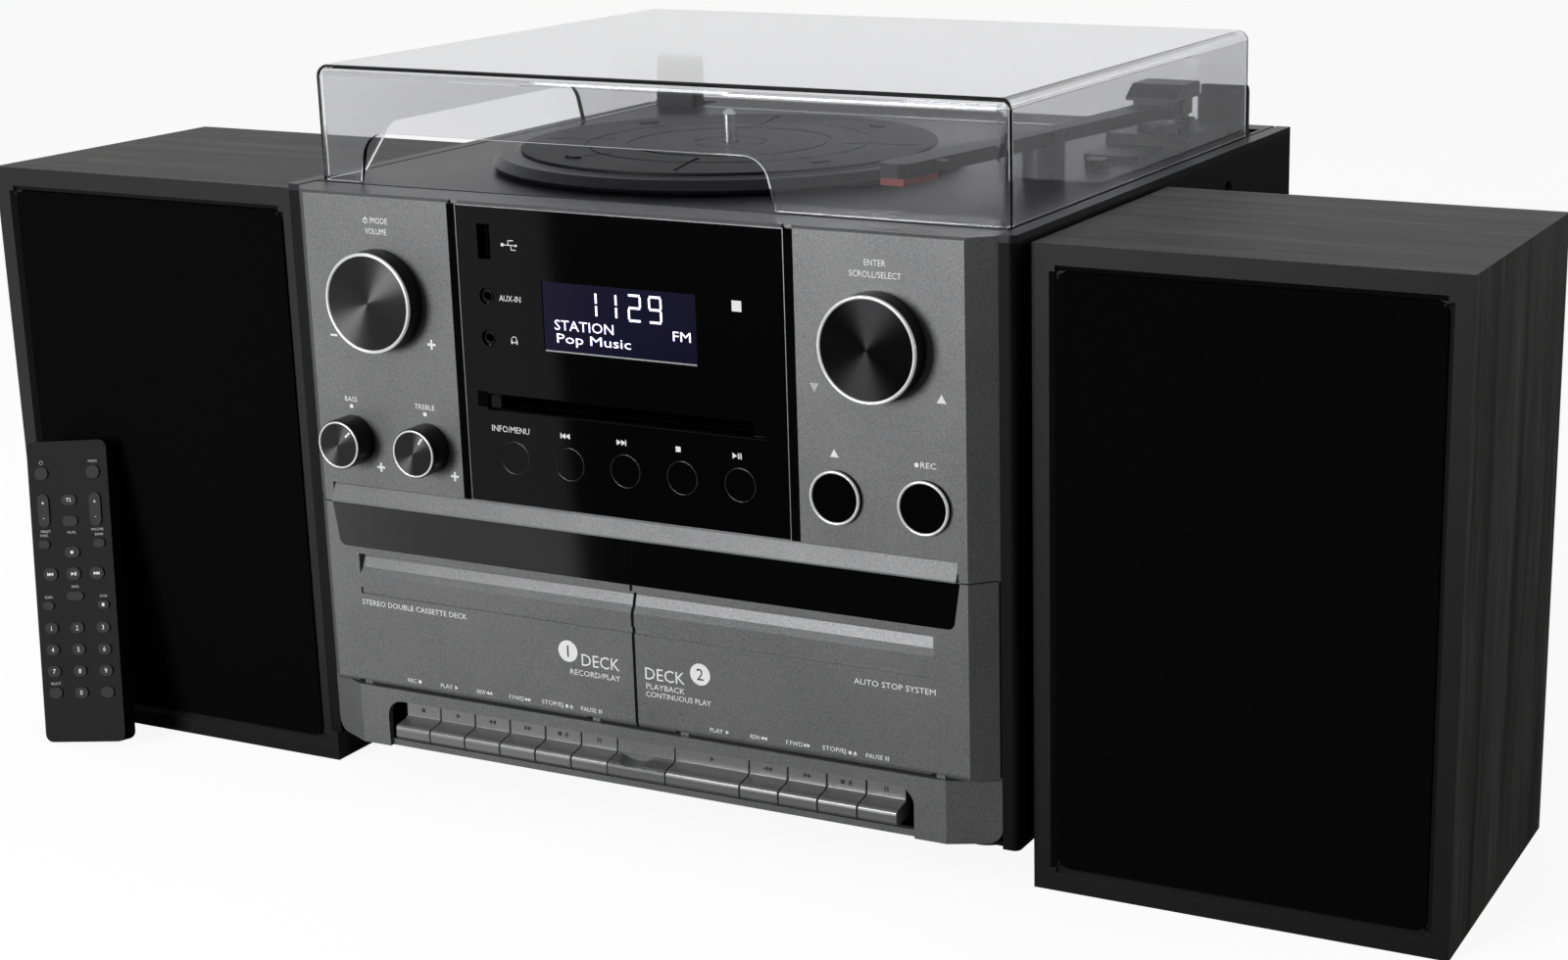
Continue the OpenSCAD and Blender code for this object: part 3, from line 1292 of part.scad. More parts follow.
module at_remote() translate([remote_x, remote_y, remote_up]) rotate([0, 0, remote_turn])
    rotate([-remote_lean, 0, 0]) rotate([0, remote_roll, 0]) children();

module remote_case() color("#1e1e20") at_remote() plate_y([-remote_t / 2, remote_t / 2])
    round_rect([-remote_w / 2, remote_w / 2], [-remote_l / 2, remote_l / 2], remote_r);

// Rubber keys on the face of the remote control, by rows from its lower edge.
key_out = 0.8;
row_1 = 24.8;
row_step = 10.8;
column = 14.1;
key_span = remote_l / 150;
module remote_key(x, up, w, h) plate_y([-remote_t / 2 - key_out, -remote_t / 2])
    round_rect([x - w / 2, x + w / 2], [up * key_span - remote_l / 2 - h / 2, up * key_span - remote_l / 2 + h / 2],
        min(w, h) / 2 - 0.1);
module remote_keypad() color("#2b2b2e") at_remote() {
    for (c = [-1 : 1], r = [0 : 3]) remote_key(c * column, row_1 + r * row_step, 7, 5.2);
    for (c = [-1 : 1]) {
        remote_key(c * 12.6, row_1 + 59.3, 7.5, 6);
        remote_key(c * 15, row_1 + (c == 0 ? 48.2 : 43.6), c == 0 ? 9 : 6, c == 0 ? 4 : 4);
    }
    for (c = [-1, 1]) {
        remote_key(c * 15, row_1 + 74.2, 6, 4);
        remote_key(c * column, row_1 + 91, 6, 16);
        remote_key(c * 14, row_1 + 109.5, 7, 6);
    }
    for (up = [70, 85.6, 96]) remote_key(0, row_1 + up, 8, 5);
}

cabinet_shell();
feet();
rear_cover();
front_panel();
display_panel();
lcd_module();
deck_plate();
arm_rest();
spindle();
drive_motor();
drive_belt();
tonearm_base();
cassette_mechanisms();
cd_drive();
main_board();
rear_sockets();
screws();
platter();
platter_mat();
motor_pulley();
tonearm_yoke();
tonearm_tube();
cartridge();
cue_lever();
speed_switch();
dust_cover();
cover_hinges();
volume_shaft();
volume_knob();
enter_shaft();
enter_knob();
bass_knob();
treble_knob();
info_button();
previous_button();
next_button();
stop_button();
play_button();
eject_button();
record_button();
cassette_door_left();
cassette_door_right();
door_window_left();
door_window_right();
key_record_1();
key_play_1();
key_rewind_1();
key_forward_1();
key_stop_1();
key_pause_1();
key_play_2();
key_rewind_2();
key_forward_2();
key_stop_2();
key_pause_2();
speaker_cabinets();
speaker_grilles();
speaker_drivers();
remote_case();
remote_keypad();
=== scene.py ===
"""Looks of a stereo music centre with two speakers and a remote control.

The CAD nodes come in as the fixed frame. This script gives them materials and soft edges, adds the
printed labels, metal rings, display characters and other surface parts, and sets the light and camera.
Lengths are in metres, and the helper MM turns millimetres into metres.
"""

from __future__ import annotations

import json
import logging
import math
from dataclasses import dataclass, field
from enum import Enum
from typing import ClassVar

import bpy
from mathutils import Matrix, Vector

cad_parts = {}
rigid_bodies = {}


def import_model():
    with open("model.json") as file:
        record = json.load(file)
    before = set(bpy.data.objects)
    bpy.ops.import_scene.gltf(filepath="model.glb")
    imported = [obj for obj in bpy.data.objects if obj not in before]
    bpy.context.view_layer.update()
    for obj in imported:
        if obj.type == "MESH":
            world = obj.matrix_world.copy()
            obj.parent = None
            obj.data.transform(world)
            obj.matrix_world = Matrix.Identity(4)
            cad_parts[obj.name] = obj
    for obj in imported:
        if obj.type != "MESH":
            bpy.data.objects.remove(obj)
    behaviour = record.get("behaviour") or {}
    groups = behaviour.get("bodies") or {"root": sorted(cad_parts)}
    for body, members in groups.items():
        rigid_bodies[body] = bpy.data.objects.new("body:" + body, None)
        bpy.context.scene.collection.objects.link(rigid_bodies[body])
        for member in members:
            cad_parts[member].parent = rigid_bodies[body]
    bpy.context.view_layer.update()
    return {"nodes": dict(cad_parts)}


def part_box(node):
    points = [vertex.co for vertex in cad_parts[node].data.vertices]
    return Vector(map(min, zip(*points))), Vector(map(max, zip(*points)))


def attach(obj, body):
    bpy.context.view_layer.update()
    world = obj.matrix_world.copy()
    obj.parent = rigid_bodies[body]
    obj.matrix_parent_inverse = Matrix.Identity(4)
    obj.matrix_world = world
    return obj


LOG = logging.getLogger("music_centre")
MM = 0.001
LIFT = 0.04 * MM  # height of a print over the face that carries it

Piece = bpy.types.Object
Node = bpy.types.Node
Socket = bpy.types.NodeSocket
Coords = bpy.types.bpy_prop_collection
Color = Point = tuple[float, float, float]
Value = Socket | float | tuple[float, ...]


# ---- finishes


class Pattern(Enum):
    """Procedural surface detail that a finish can carry."""

    PLAIN = "plain"
    SPECKLE = "speckle"
    GRAIN = "grain"
    WEAVE = "weave"
    SPUN = "spun"
    MOULDED = "moulded"


@dataclass(frozen=True)
class Finish:
    """A surface finish.

    Attributes:
        name: Material name.
        color: Linear base colour.
        metallic: Share of metal in the surface.
        roughness: Microsurface roughness.
        specular: Level of the specular reflection.
        pattern: Procedural detail.
        second: Second colour that the pattern mixes in.
        glow: Strength of the emission in the base colour.
        clear: Weight of the transmission.
        anisotropy: Stretch of the highlight.
    """

    name: str
    color: Color
    metallic: float = 0.0
    roughness: float = 0.5
    specular: float = 0.5
    pattern: Pattern = Pattern.PLAIN
    second: Color = (0.0, 0.0, 0.0)
    glow: float = 0.0
    clear: float = 0.0
    anisotropy: float = 0.0


class Look:
    """All finishes of the set."""

    FASCIA = Finish("fascia_grey", (0.25, 0.251, 0.255), 0.35, 0.42, pattern=Pattern.SPECKLE,
                    second=(0.1, 0.101, 0.103))
    GLOSS = Finish("gloss_black", (0.0018, 0.0018, 0.0021), 0.0, 0.05, specular=0.3)
    WINDOW = Finish("window_gloss", (0.0018, 0.0018, 0.0021), 0.0, 0.08, specular=1.0)
    CASE = Finish("case_black", (0.005, 0.005, 0.0055), specular=0.1, pattern=Pattern.MOULDED)
    DECK = Finish("deck_grey", (0.018, 0.018, 0.021), 0.0, 0.36, specular=0.2, pattern=Pattern.MOULDED)
    RUBBER = Finish("rubber_black", (0.007, 0.007, 0.008), 0.0, 0.6, specular=0.3)
    MAT = Finish("mat_rubber", (0.005, 0.005, 0.006), specular=0.14)
    PLATTER = Finish("platter_black", (0.005, 0.005, 0.006), 0.0, 0.35, specular=0.2)
    ARM = Finish("arm_grey", (0.004, 0.004, 0.0045), 0.0, 0.4, specular=0.2)
    CARTRIDGE = Finish("cartridge_red", (0.12, 0.018, 0.011), 0.0, 0.35, specular=0.25)
    STEEL = Finish("bright_steel", (0.62, 0.62, 0.64), 1.0, 0.18)
    PLATED = Finish("plated_sheet", (0.38, 0.38, 0.4), 1.0, 0.4)
    BRASS = Finish("turned_brass", (0.6, 0.44, 0.18), 1.0, 0.3)
    BOARD = Finish("board_green", (0.02, 0.09, 0.035), 0.0, 0.35)
    SOCKET = Finish("socket_plastic", (0.4, 0.38, 0.34), 0.1, 0.3)
    KNOB = Finish("knob_skirt", (0.004, 0.004, 0.0045), 0.0, 0.32, specular=0.25)
    SPUN = Finish("spun_metal", (0.065, 0.065, 0.067), 1.0, 0.3, anisotropy=0.95, pattern=Pattern.SPUN,
                  second=(0.03, 0.03, 0.03))
    # Darker copy of the spun finish for the enter knob: painted shade.
    SPUN_DARK = Finish("spun_dark", (0.02, 0.02, 0.021), 1.0, 0.34, anisotropy=0.95, pattern=Pattern.SPUN,
                       second=(0.008, 0.008, 0.008))
    # Chrome ring; its white colour and glow are a painted highlight standing in for the light its chamfer
    # catches.
    RING = Finish("bright_ring", (0.9, 0.9, 0.9), 0.45, 0.22, glow=0.12)
    DIM_RING = Finish("dim_ring", (0.09, 0.09, 0.095), 1.0, 0.25)
    TRIM = Finish("trim_line", (0.3, 0.3, 0.31), 0.5, 0.35)
    KEY = Finish("key_silver", (0.28, 0.28, 0.285), 0.5, 0.3, pattern=Pattern.SPECKLE,
                 second=(0.22, 0.22, 0.222))
    WOOD = Finish("wood_vinyl", (0.125, 0.122, 0.12), specular=0.3, pattern=Pattern.GRAIN,
                  second=(0.028, 0.0275, 0.027))
    CLOTH = Finish("grille_cloth", (0.002, 0.002, 0.0022), 0.0, 0.95, specular=0.05, pattern=Pattern.WEAVE)
    FRAME = Finish("frame_black", (0.006, 0.006, 0.006), specular=0.25)
    CONE = Finish("cone_paper", (0.04, 0.04, 0.042), 0.0, 0.7)
    REMOTE = Finish("remote_black", (0.008, 0.008, 0.009), specular=0.08)
    REMOTE_KEY = Finish("remote_keys", (0.02, 0.02, 0.022), specular=0.15)
    # White print; its slight glow is painted light on top of the print's own white.
    PRINT = Finish("white_print", (0.82, 0.82, 0.82), glow=0.1)
    GREY_PRINT = Finish("grey_print", (0.5, 0.5, 0.5))
    DARK_PRINT = Finish("dark_print", (0.02, 0.02, 0.02))
    LCD = Finish("display_glass", (0.006, 0.0045, 0.02), 0.0, 0.15, glow=0.15, specular=0.3)
    LCD_TEXT = Finish("display_text", (0.72, 0.7, 1.0), glow=1.6)
    COVER = Finish("cover_clear", (0.75, 0.75, 0.77), 0.0, 0.02, clear=1.0)
    # Near-black: the own colour of the screws, the drive and the port's tongue, and painted shade in the
    # bars beside the display panel and at the slot's end.
    DARK = Finish("dark_gap", (0.001, 0.001, 0.001), 0.0, 0.8, specular=0.03)


@dataclass
class Net:
    """Adds nodes to a node tree, and links or fills their inputs."""

    tree: bpy.types.NodeTree

    def put(self, value: Value, socket: Socket) -> None:
        """Links an input to a socket, or sets its own value.

        Args:
            value: The socket that feeds it, or a plain value.
            socket: The input.
        """
        if isinstance(value, Socket):
            self.tree.links.new(value, socket)
        else:
            socket.default_value = value

    def node(self, kind: str, values: dict[str | int, Value] | None = None, **settings: object) -> Node:
        """Adds a node.

        Args:
            kind: Its type, without the leading ShaderNode.
            values: What its inputs get, by name or number.
            settings: Its properties.

        Returns:
            The node.
        """
        node = self.tree.nodes.new(f"ShaderNode{kind}")
        for name, value in settings.items():
            setattr(node, name, value)
        for name, value in (values or {}).items():
            self.put(value, node.inputs[name])
        return node

    def axes(self, coordinates: str) -> Node:
        """Gives the X, Y and Z of a kind of texture coordinates."""
        return self.node("SeparateXYZ", {"Vector": self.node("TexCoord").outputs[coordinates]})

    def math(self, operation: str, first: Value, second: Value = 0.0) -> Socket:
        """Gives the result of a math operation."""
        return self.node("Math", {0: first, 1: second}, operation=operation).outputs["Value"]

    def ramp(self, value: Socket, low: float, high: float, bottom: float = 0.0, top: float = 1.0,
             kind: str = "SMOOTHSTEP") -> Socket:
        """Maps one range to another, as a soft step or another kind of line."""
        values = {"Value": value, "From Min": low, "From Max": high, "To Min": bottom, "To Max": top}
        return self.node("MapRange", values, interpolation_type=kind).outputs["Result"]

    def spread(self, value: Socket, low: float, high: float) -> Socket:
        """Stretches a value between two limits to 0 to 1."""
        return self.ramp(value, low, high, kind="LINEAR")

    def blend(self, factor: Socket, first: Value, second: Value) -> Socket:
        """Blends two values."""
        return self.node("Mix", {0: factor, 2: first, 3: second}, data_type="FLOAT").outputs[0]

    def tint(self, factor: Socket, first: Color, second: Color) -> Socket:
        """Blends two colours."""
        values = {0: factor, 6: (*first, 1.0), 7: (*second, 1.0)}
        return self.node("Mix", values, data_type="RGBA").outputs[2]

    def noise(self, vector: Socket, scale: float, detail: float, roughness: float = 0.5,
              distortion: float = 0.0) -> Socket:
        """Gives the value of a noise texture."""
        values = {"Vector": vector, "Scale": scale, "Detail": detail, "Roughness": roughness,
                  "Distortion": distortion}
        return self.node("TexNoise", values).outputs["Fac"]

    def bump(self, height: Socket, strength: float, distance: float) -> Socket:
        """Gives the normal of a bumpy surface."""
        values = {"Height": height, "Strength": strength, "Distance": distance}
        return self.node("Bump", values).outputs["Normal"]


@dataclass
class EffectGroups:
    """Shared node groups, one for each pattern.

    The builder of a pattern has its name. It takes the group's nodes and the texture coordinates,
    and gives the mask and the normal.
    """

    groups: dict[Pattern, bpy.types.NodeTree] = field(default_factory=dict)

    def get(self, pattern: Pattern) -> bpy.types.NodeTree:
        """Gives the group of a pattern, and builds it the first time.

        Args:
            pattern: The pattern that is wanted.

        Returns:
            The group, with the outputs Mask and Normal.
        """
        if pattern not in self.groups:
            group = bpy.data.node_groups.new(pattern.value, "ShaderNodeTree")
            group.interface.new_socket("Mask", in_out="OUTPUT", socket_type="NodeSocketFloat")
            group.interface.new_socket("Normal", in_out="OUTPUT", socket_type="NodeSocketVector")
            out = group.nodes.new("NodeGroupOutput")
            net = Net(group)
            results = getattr(self, f"_{pattern.value}")(net, net.node("TexCoord").outputs)
            for name, result in zip(("Mask", "Normal"), results):
                net.put(result, out.inputs[name])
            self.groups[pattern] = group
        return self.groups[pattern]

    @staticmethod
    def _speckle(net: Net, coords: Coords) -> tuple[Socket, Socket]:
        """Fine grains, with a slow change of tone."""
        fine = net.noise(coords["Object"], 1500.0, 2.0, 0.6)
        wide = net.noise(coords["Object"], 26.0, 3.0)
        both = net.math("ADD", net.spread(fine, 0.3, 0.75), net.spread(wide, 0.2, 2.2))
        return net.math("MULTIPLY", both, 0.7), net.bump(fine, 0.35, 0.06 * MM)

    @staticmethod
    def _moulded(net: Net, coords: Coords) -> tuple[Socket, Socket]:
        """The light texture of moulded plastic."""
        fine = net.noise(coords["Object"], 900.0, 2.0)
        return fine, net.bump(fine, 0.3, 0.05 * MM)

    @staticmethod
    def _weave(net: Net, coords: Coords) -> tuple[Socket, Socket]:
        """Threads across and upright."""
        values = {"Scale": 260.0, "Vector": coords["Object"]}
        threads = [net.node("TexWave", values, bands_direction=axis).outputs["Fac"] for axis in ("X", "Z")]
        cloth = net.math("ADD", *threads)
        return cloth, net.bump(cloth, 0.5, 0.2 * MM)

    @staticmethod
    def _spun(net: Net, coords: Coords) -> tuple[Socket, Socket]:
        """Fine scratches."""
        scratch = net.noise(coords["Object"], 2400.0, 1.0)
        return scratch, net.bump(scratch, 0.05, 0.03 * MM)

    @staticmethod
    def _grain(net: Net, coords: Coords) -> tuple[Socket, Socket]:
        """Long fibres: upright on the sides, and from left to right on the top and bottom."""
        facing = net.node("SeparateXYZ", {"Vector": coords["Normal"]}).outputs["Z"]
        is_top = net.math("GREATER_THAN", net.math("ABSOLUTE", facing), 0.7)
        maps = (net.node("Mapping", {"Scale": scale, "Vector": coords["Object"]})
                for scale in ((1.0, 1.0, 0.05), (0.06, 1.0, 1.0)))
        upright, across = (node.outputs["Vector"] for node in maps)
        place = net.node("Mix", {0: is_top, 4: upright, 5: across}, data_type="VECTOR").outputs[1]
        wide = net.noise(place, 55.0, 4.0, 0.65, 1.2)
        fine = net.noise(place, 420.0, 3.0, 0.7, 0.3)
        fibres = net.math("MULTIPLY", net.spread(wide, 0.28, 0.72), net.spread(fine, 0.3, 0.7))
        return net.math("ADD", fibres, net.spread(wide, 0.35, 1.6)), net.bump(fine, 0.35, 0.1 * MM)


@dataclass
class MaterialShelf:
    """Builds each material once, from its finish."""

    ACRYLIC_IOR = 1.49
    LATHE_TURN = 0.25

    effects: EffectGroups = field(default_factory=EffectGroups)
    made: dict[str, bpy.types.Material] = field(default_factory=dict)

    def get(self, finish: Finish) -> bpy.types.Material:
        """Gives the material of a finish, and builds it the first time."""
        if finish.name not in self.made:
            self.made[finish.name] = self._build(finish)
        return self.made[finish.name]

    def _build(self, finish: Finish) -> bpy.types.Material:
        """Builds a material.

        Args:
            finish: The finish to build.

        Returns:
            The material, with one Principled shader.
        """
        material = bpy.data.materials.new(finish.name)
        material.use_nodes = True
        net = Net(material.node_tree)
        shader = net.tree.nodes["Principled BSDF"].inputs
        values = {
            "Base Color": (*finish.color, 1.0), "Metallic": finish.metallic, "Roughness": finish.roughness,
            "Specular IOR Level": finish.specular, "Transmission Weight": finish.clear,
            "Anisotropic": finish.anisotropy, "Emission Color": (*finish.color, 1.0),
            "Emission Strength": finish.glow,
        }
        if finish.clear:
            values["IOR"] = self.ACRYLIC_IOR
        if finish.pattern is not Pattern.PLAIN:
            effect = net.node("Group", node_tree=self.effects.get(finish.pattern)).outputs
            values["Normal"] = effect["Normal"]
            if any(finish.second):
                values["Base Color"] = net.tint(effect["Mask"], finish.second, finish.color)
        if finish.anisotropy:
            values["Tangent"] = net.node("Tangent", direction_type="RADIAL", axis="Y").outputs["Tangent"]
            values["Anisotropic Rotation"] = self.LATHE_TURN
        for name, value in values.items():
            net.put(value, shader[name])
        return material


# ---- modelling


@dataclass
class Shop:
    """Makes pieces with Blender's operators, in the CAD's frame."""

    CAPITAL = 0.7
    DISC_SIDES = 96
    WELD = 0.005 * MM
    SHARP = math.radians(35.0)

    shelf: MaterialShelf

    @staticmethod
    def _take(name: str) -> Piece:
        """Names the active object and gives it."""
        piece = bpy.context.view_layer.objects.active
        piece.name = name
        piece.data.name = name
        return piece

    @staticmethod
    def clear() -> None:
        """Lets go of all pieces."""
        bpy.ops.object.select_all(action="DESELECT")

    @staticmethod
    def apply() -> None:
        """Puts the selected piece's place, turn and size into its mesh."""
        bpy.ops.object.transform_apply(location=True, rotation=True, scale=True)

    def finish(self, piece: Piece, finish: Finish) -> Piece:
        """Gives a piece one material."""
        piece.data.materials.clear()
        piece.data.materials.append(self.shelf.get(finish))
        return piece

    def _face(self, name: str, center: Vector, finish: Finish) -> Piece:
        """Turns the new piece from +Z to -Y, and gives it its name, place and finish.

        Args:
            name: Its name.
            center: Its middle.
            finish: Its finish.

        Returns:
            The piece.
        """
        piece = self._take(name)
        piece.rotation_euler = (math.pi / 2, 0.0, 0.0)
        piece.location = center
        self.apply()
        return self.finish(piece, finish)

    def box(self, name: str, low: Vector, high: Vector, finish: Finish) -> Piece:
        """Makes a box between two corners.

        Args:
            name: Its name.
            low: Lowest corner.
            high: Highest corner.
            finish: Its finish.

        Returns:
            The piece.
        """
        self.clear()
        bpy.ops.mesh.primitive_cube_add(size=1.0, location=(low + high) / 2)
        piece = self._take(name)
        piece.scale = high - low
        self.apply()
        return self.finish(piece, finish)

    def rod(self, name: str, center: Vector, radius: float, length: float, finish: Finish) -> Piece:
        """Makes a rod along Y.

        Args:
            name: Its name.
            center: Its middle.
            radius: Its radius.
            length: Its length.
            finish: Its finish.

        Returns:
            The piece.
        """
        self.clear()
        bpy.ops.mesh.primitive_cylinder_add(vertices=self.DISC_SIDES, radius=radius, depth=length)
        return self._face(name, center, finish)

    def ring(self, name: str, center: Vector, radius: float, thickness: float, finish: Finish) -> Piece:
        """Makes a thin ring that faces -Y.

        Args:
            name: Its name.
            center: Its middle.
            radius: Radius of its middle line.
            thickness: Radius of the wire.
            finish: Its finish.

        Returns:
            The piece.
        """
        self.clear()
        bpy.ops.mesh.primitive_torus_add(major_radius=radius, minor_radius=thickness,
                                         major_segments=self.DISC_SIDES, minor_segments=10)
        piece = self._face(name, center, finish)
        bpy.ops.object.shade_smooth()
        return piece

    def text(self, line: Words, center: Vector, finish: Finish) -> Piece:
        """Makes flat letters that face -Y, as a mesh.

        Args:
            line: The words and their size.
            center: Its middle.
            finish: Its finish.

        Returns:
            The letters.
        """
        self.clear()
        bpy.ops.object.text_add()
        letters = self._take("line").data
        letters.body = line.body
        letters.resolution_u = 2
        bpy.ops.object.convert(target="MESH")
        mesh = self._take("line").data
        xs, ys = ([point.co[axis] for point in mesh.vertices] for axis in (0, 1))
        grow = line.height * MM / self.CAPITAL
        across = line.width * MM / (max(xs) - min(xs)) if line.width else grow
        middle = Vector(((max(xs) + min(xs)) / 2, (max(ys) + min(ys)) / 2, 0.0))
        mesh.transform(Matrix.Diagonal((across, grow, 1.0, 1.0)) @ Matrix.Translation(-middle))
        return self._face("line", center, finish)

    def polygon(self, center: Vector, radius: float, sides: int, turn: float, finish: Finish) -> Piece:
        """Makes a flat polygon that faces -Y.

        Args:
            center: Its middle.
            radius: From the middle to a corner.
            sides: Number of corners.
            turn: Degrees clockwise from pointing up.
            finish: Its finish.

        Returns:
            The piece.
        """
        self.clear()
        bpy.ops.mesh.primitive_circle_add(vertices=sides, radius=radius, fill_type="NGON")
        self._take("polygon").data.transform(Matrix.Rotation(-math.radians(turn), 4, "Z"))
        return self._face("polygon", center, finish)

    def patch(self, center: Vector, width: float, height: float, finish: Finish) -> Piece:
        """Makes a flat rectangle that faces -Y.

        Args:
            center: Its middle.
            width: Its width.
            height: Its height.
            finish: Its finish.

        Returns:
            The piece.
        """
        self.clear()
        bpy.ops.mesh.primitive_plane_add(size=1.0)
        self._take("bar").scale = (width, height, 1.0)
        return self._face("bar", center, finish)

    def join(self, name: str, parts: list[Piece]) -> Piece:
        """Joins several pieces into one.

        Args:
            name: Its name.
            parts: The pieces to join.

        Returns:
            The piece.
        """
        self.clear()
        for part in parts:
            part.select_set(True)
        bpy.context.view_layer.objects.active = parts[0]
        if len(parts) > 1:
            bpy.ops.object.join()
        return self._take(name)

    def soften(self, piece: Piece, width: float) -> None:
        """Rounds a piece's sharp edges with modifiers.

        Args:
            piece: The piece.
            width: Width of the soft edges.
        """
        piece.modifiers.new("weld", "WELD").merge_threshold = self.WELD
        bevel = piece.modifiers.new("soft_edges", "BEVEL")
        bevel.width = width
        bevel.segments = 2
        bevel.limit_method = "ANGLE"
        bevel.angle_limit = self.SHARP
        piece.modifiers.new("even_normals", "WEIGHTED_NORMAL").keep_sharp = True


# ---- prints


@dataclass(frozen=True)
class Words:
    """One printed line: its text, middle (x, z), capital height and width, in millimetres."""

    body: str
    x: float
    z: float
    height: float
    width: float | None = None


@dataclass(frozen=True)
class Sign:
    """A sign in units of its radius: arrows are (x, z, turn), and bars (x, z, width, height)."""

    arrows: tuple[tuple[float, float, float], ...] = ()
    bars: tuple[tuple[float, float, float, float], ...] = ()


@dataclass
class PrintPlane:
    """Collects prints on one plane that faces -Y, and joins them to one piece.

    Attributes:
        shop: Where pieces are made.
        name: Name of the finished piece.
        body: CAD body that it rides on.
        y: Place of the plane, in metres.
        ink: Finish of the print.
    """

    shop: Shop
    name: str
    body: str
    y: float
    ink: Finish
    parts: list[Piece] = field(default_factory=list)

    SIGNS: ClassVar[dict[str, Sign]] = {
        "previous": Sign(((-0.5, 0.0, 270), (1.0, 0.0, 270)), ((-1.5, 0.0, 0.35, 1.7),)),
        "next": Sign(((0.5, 0.0, 90), (-1.0, 0.0, 90)), ((1.5, 0.0, 0.35, 1.7),)),
        "stop": Sign((), ((0.0, 0.0, 1.6, 1.6),)),
        "play_pause": Sign(((-0.7, 0.0, 90),), ((0.75, 0.0, 0.4, 1.7), (1.5, 0.0, 0.4, 1.7))),
        "rewind": Sign(((-0.7, 0.0, 270), (0.8, 0.0, 270))),
        "forward": Sign(((0.7, 0.0, 90), (-0.8, 0.0, 90))),
        "play": Sign(((0.0, 0.0, 90),)),
        "pause": Sign((), ((-0.5, 0.0, 0.45, 1.7), (0.5, 0.0, 0.45, 1.7))),
        "eject": Sign(((0.0, 0.15, 0),), ((0.0, -0.8, 1.7, 0.35),)),
        "plus": Sign((), ((0.0, 0.0, 1.0, 0.26), (0.0, 0.315, 0.26, 0.37), (0.0, -0.315, 0.26, 0.37))),
    }
    RECORD_DOT = 0.85
    DOT_SIDES = 24

    def at(self, x: float, z: float) -> Vector:
        """A point of the plane, from millimetres."""
        return Vector((x * MM, self.y, z * MM))

    def words(self, *lines: Words) -> None:
        """Prints lines of text."""
        for line in lines:
            self.parts.append(self.shop.text(line, self.at(line.x, line.z), self.ink))

    def bar(self, x: float, z: float, width: float, height: float) -> None:
        """Prints a rectangle."""
        self.parts.append(self.shop.patch(self.at(x, z), width * MM, height * MM, self.ink))

    def dot(self, x: float, z: float, radius: float) -> None:
        """Prints a dot."""
        self.parts.append(self.shop.polygon(self.at(x, z), radius * MM, self.DOT_SIDES, 0.0, self.ink))

    def arrow(self, x: float, z: float, radius: float, turn: float) -> None:
        """Prints a triangle; turn 0 points up, 90 to the right."""
        self.parts.append(self.shop.polygon(self.at(x, z), radius * MM, 3, turn, self.ink))

    def hoop(self, x: float, z: float, radius: float, thickness: float) -> None:
        """Prints a circle line."""
        self.parts.append(self.shop.ring("hoop", self.at(x, z), radius * MM, thickness * MM, self.ink))

    def sign(self, kind: str, x: float, z: float, size: float) -> None:
        """Prints one of the signs, or a dot for record.

        Args:
            kind: Name of the sign.
            x: Its place across.
            z: Its height.
            size: Its radius.
        """
        if kind == "record":
            self.dot(x, z, self.RECORD_DOT * size)
            return
        sign = self.SIGNS[kind]
        for dx, dz, turn in sign.arrows:
            self.arrow(x + dx * size, z + dz * size, size, turn)
        for dx, dz, width, height in sign.bars:
            self.bar(x + dx * size, z + dz * size, width * size, height * size)

    def done(self) -> None:
        """Joins the prints and lets them ride."""
        piece = self.shop.join(self.name, self.parts)
        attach(piece, self.body)


# ---- sub-assemblies


@dataclass
class Assembly:
    """Base of a sub-assembly's looks.

    Attributes:
        shop: Where pieces are made.
        nodes: The CAD nodes by name.
        plane: Place of the fascia's face, in metres.
    """

    shop: Shop
    nodes: dict[str, Piece]
    plane: float

    FINISHES: ClassVar[dict[Finish, tuple[str, ...]]] = {}
    EDGES: ClassVar[dict[str, float]] = {}

    def paint(self) -> None:
        """Gives this sub-assembly's CAD nodes their finishes and soft edges."""
        for finish, names in self.FINISHES.items():
            for name in names:
                self.shop.finish(self.nodes[name], finish)
        for name, width in self.EDGES.items():
            self.shop.soften(self.nodes[name], width * MM)

    @staticmethod
    def front(node: str, out: float) -> Vector:
        """Middle of a CAD node's front, moved out of it by some millimetres."""
        low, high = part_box(node)
        return Vector(((low.x + high.x) / 2, low.y - out * MM, (low.z + high.z) / 2))


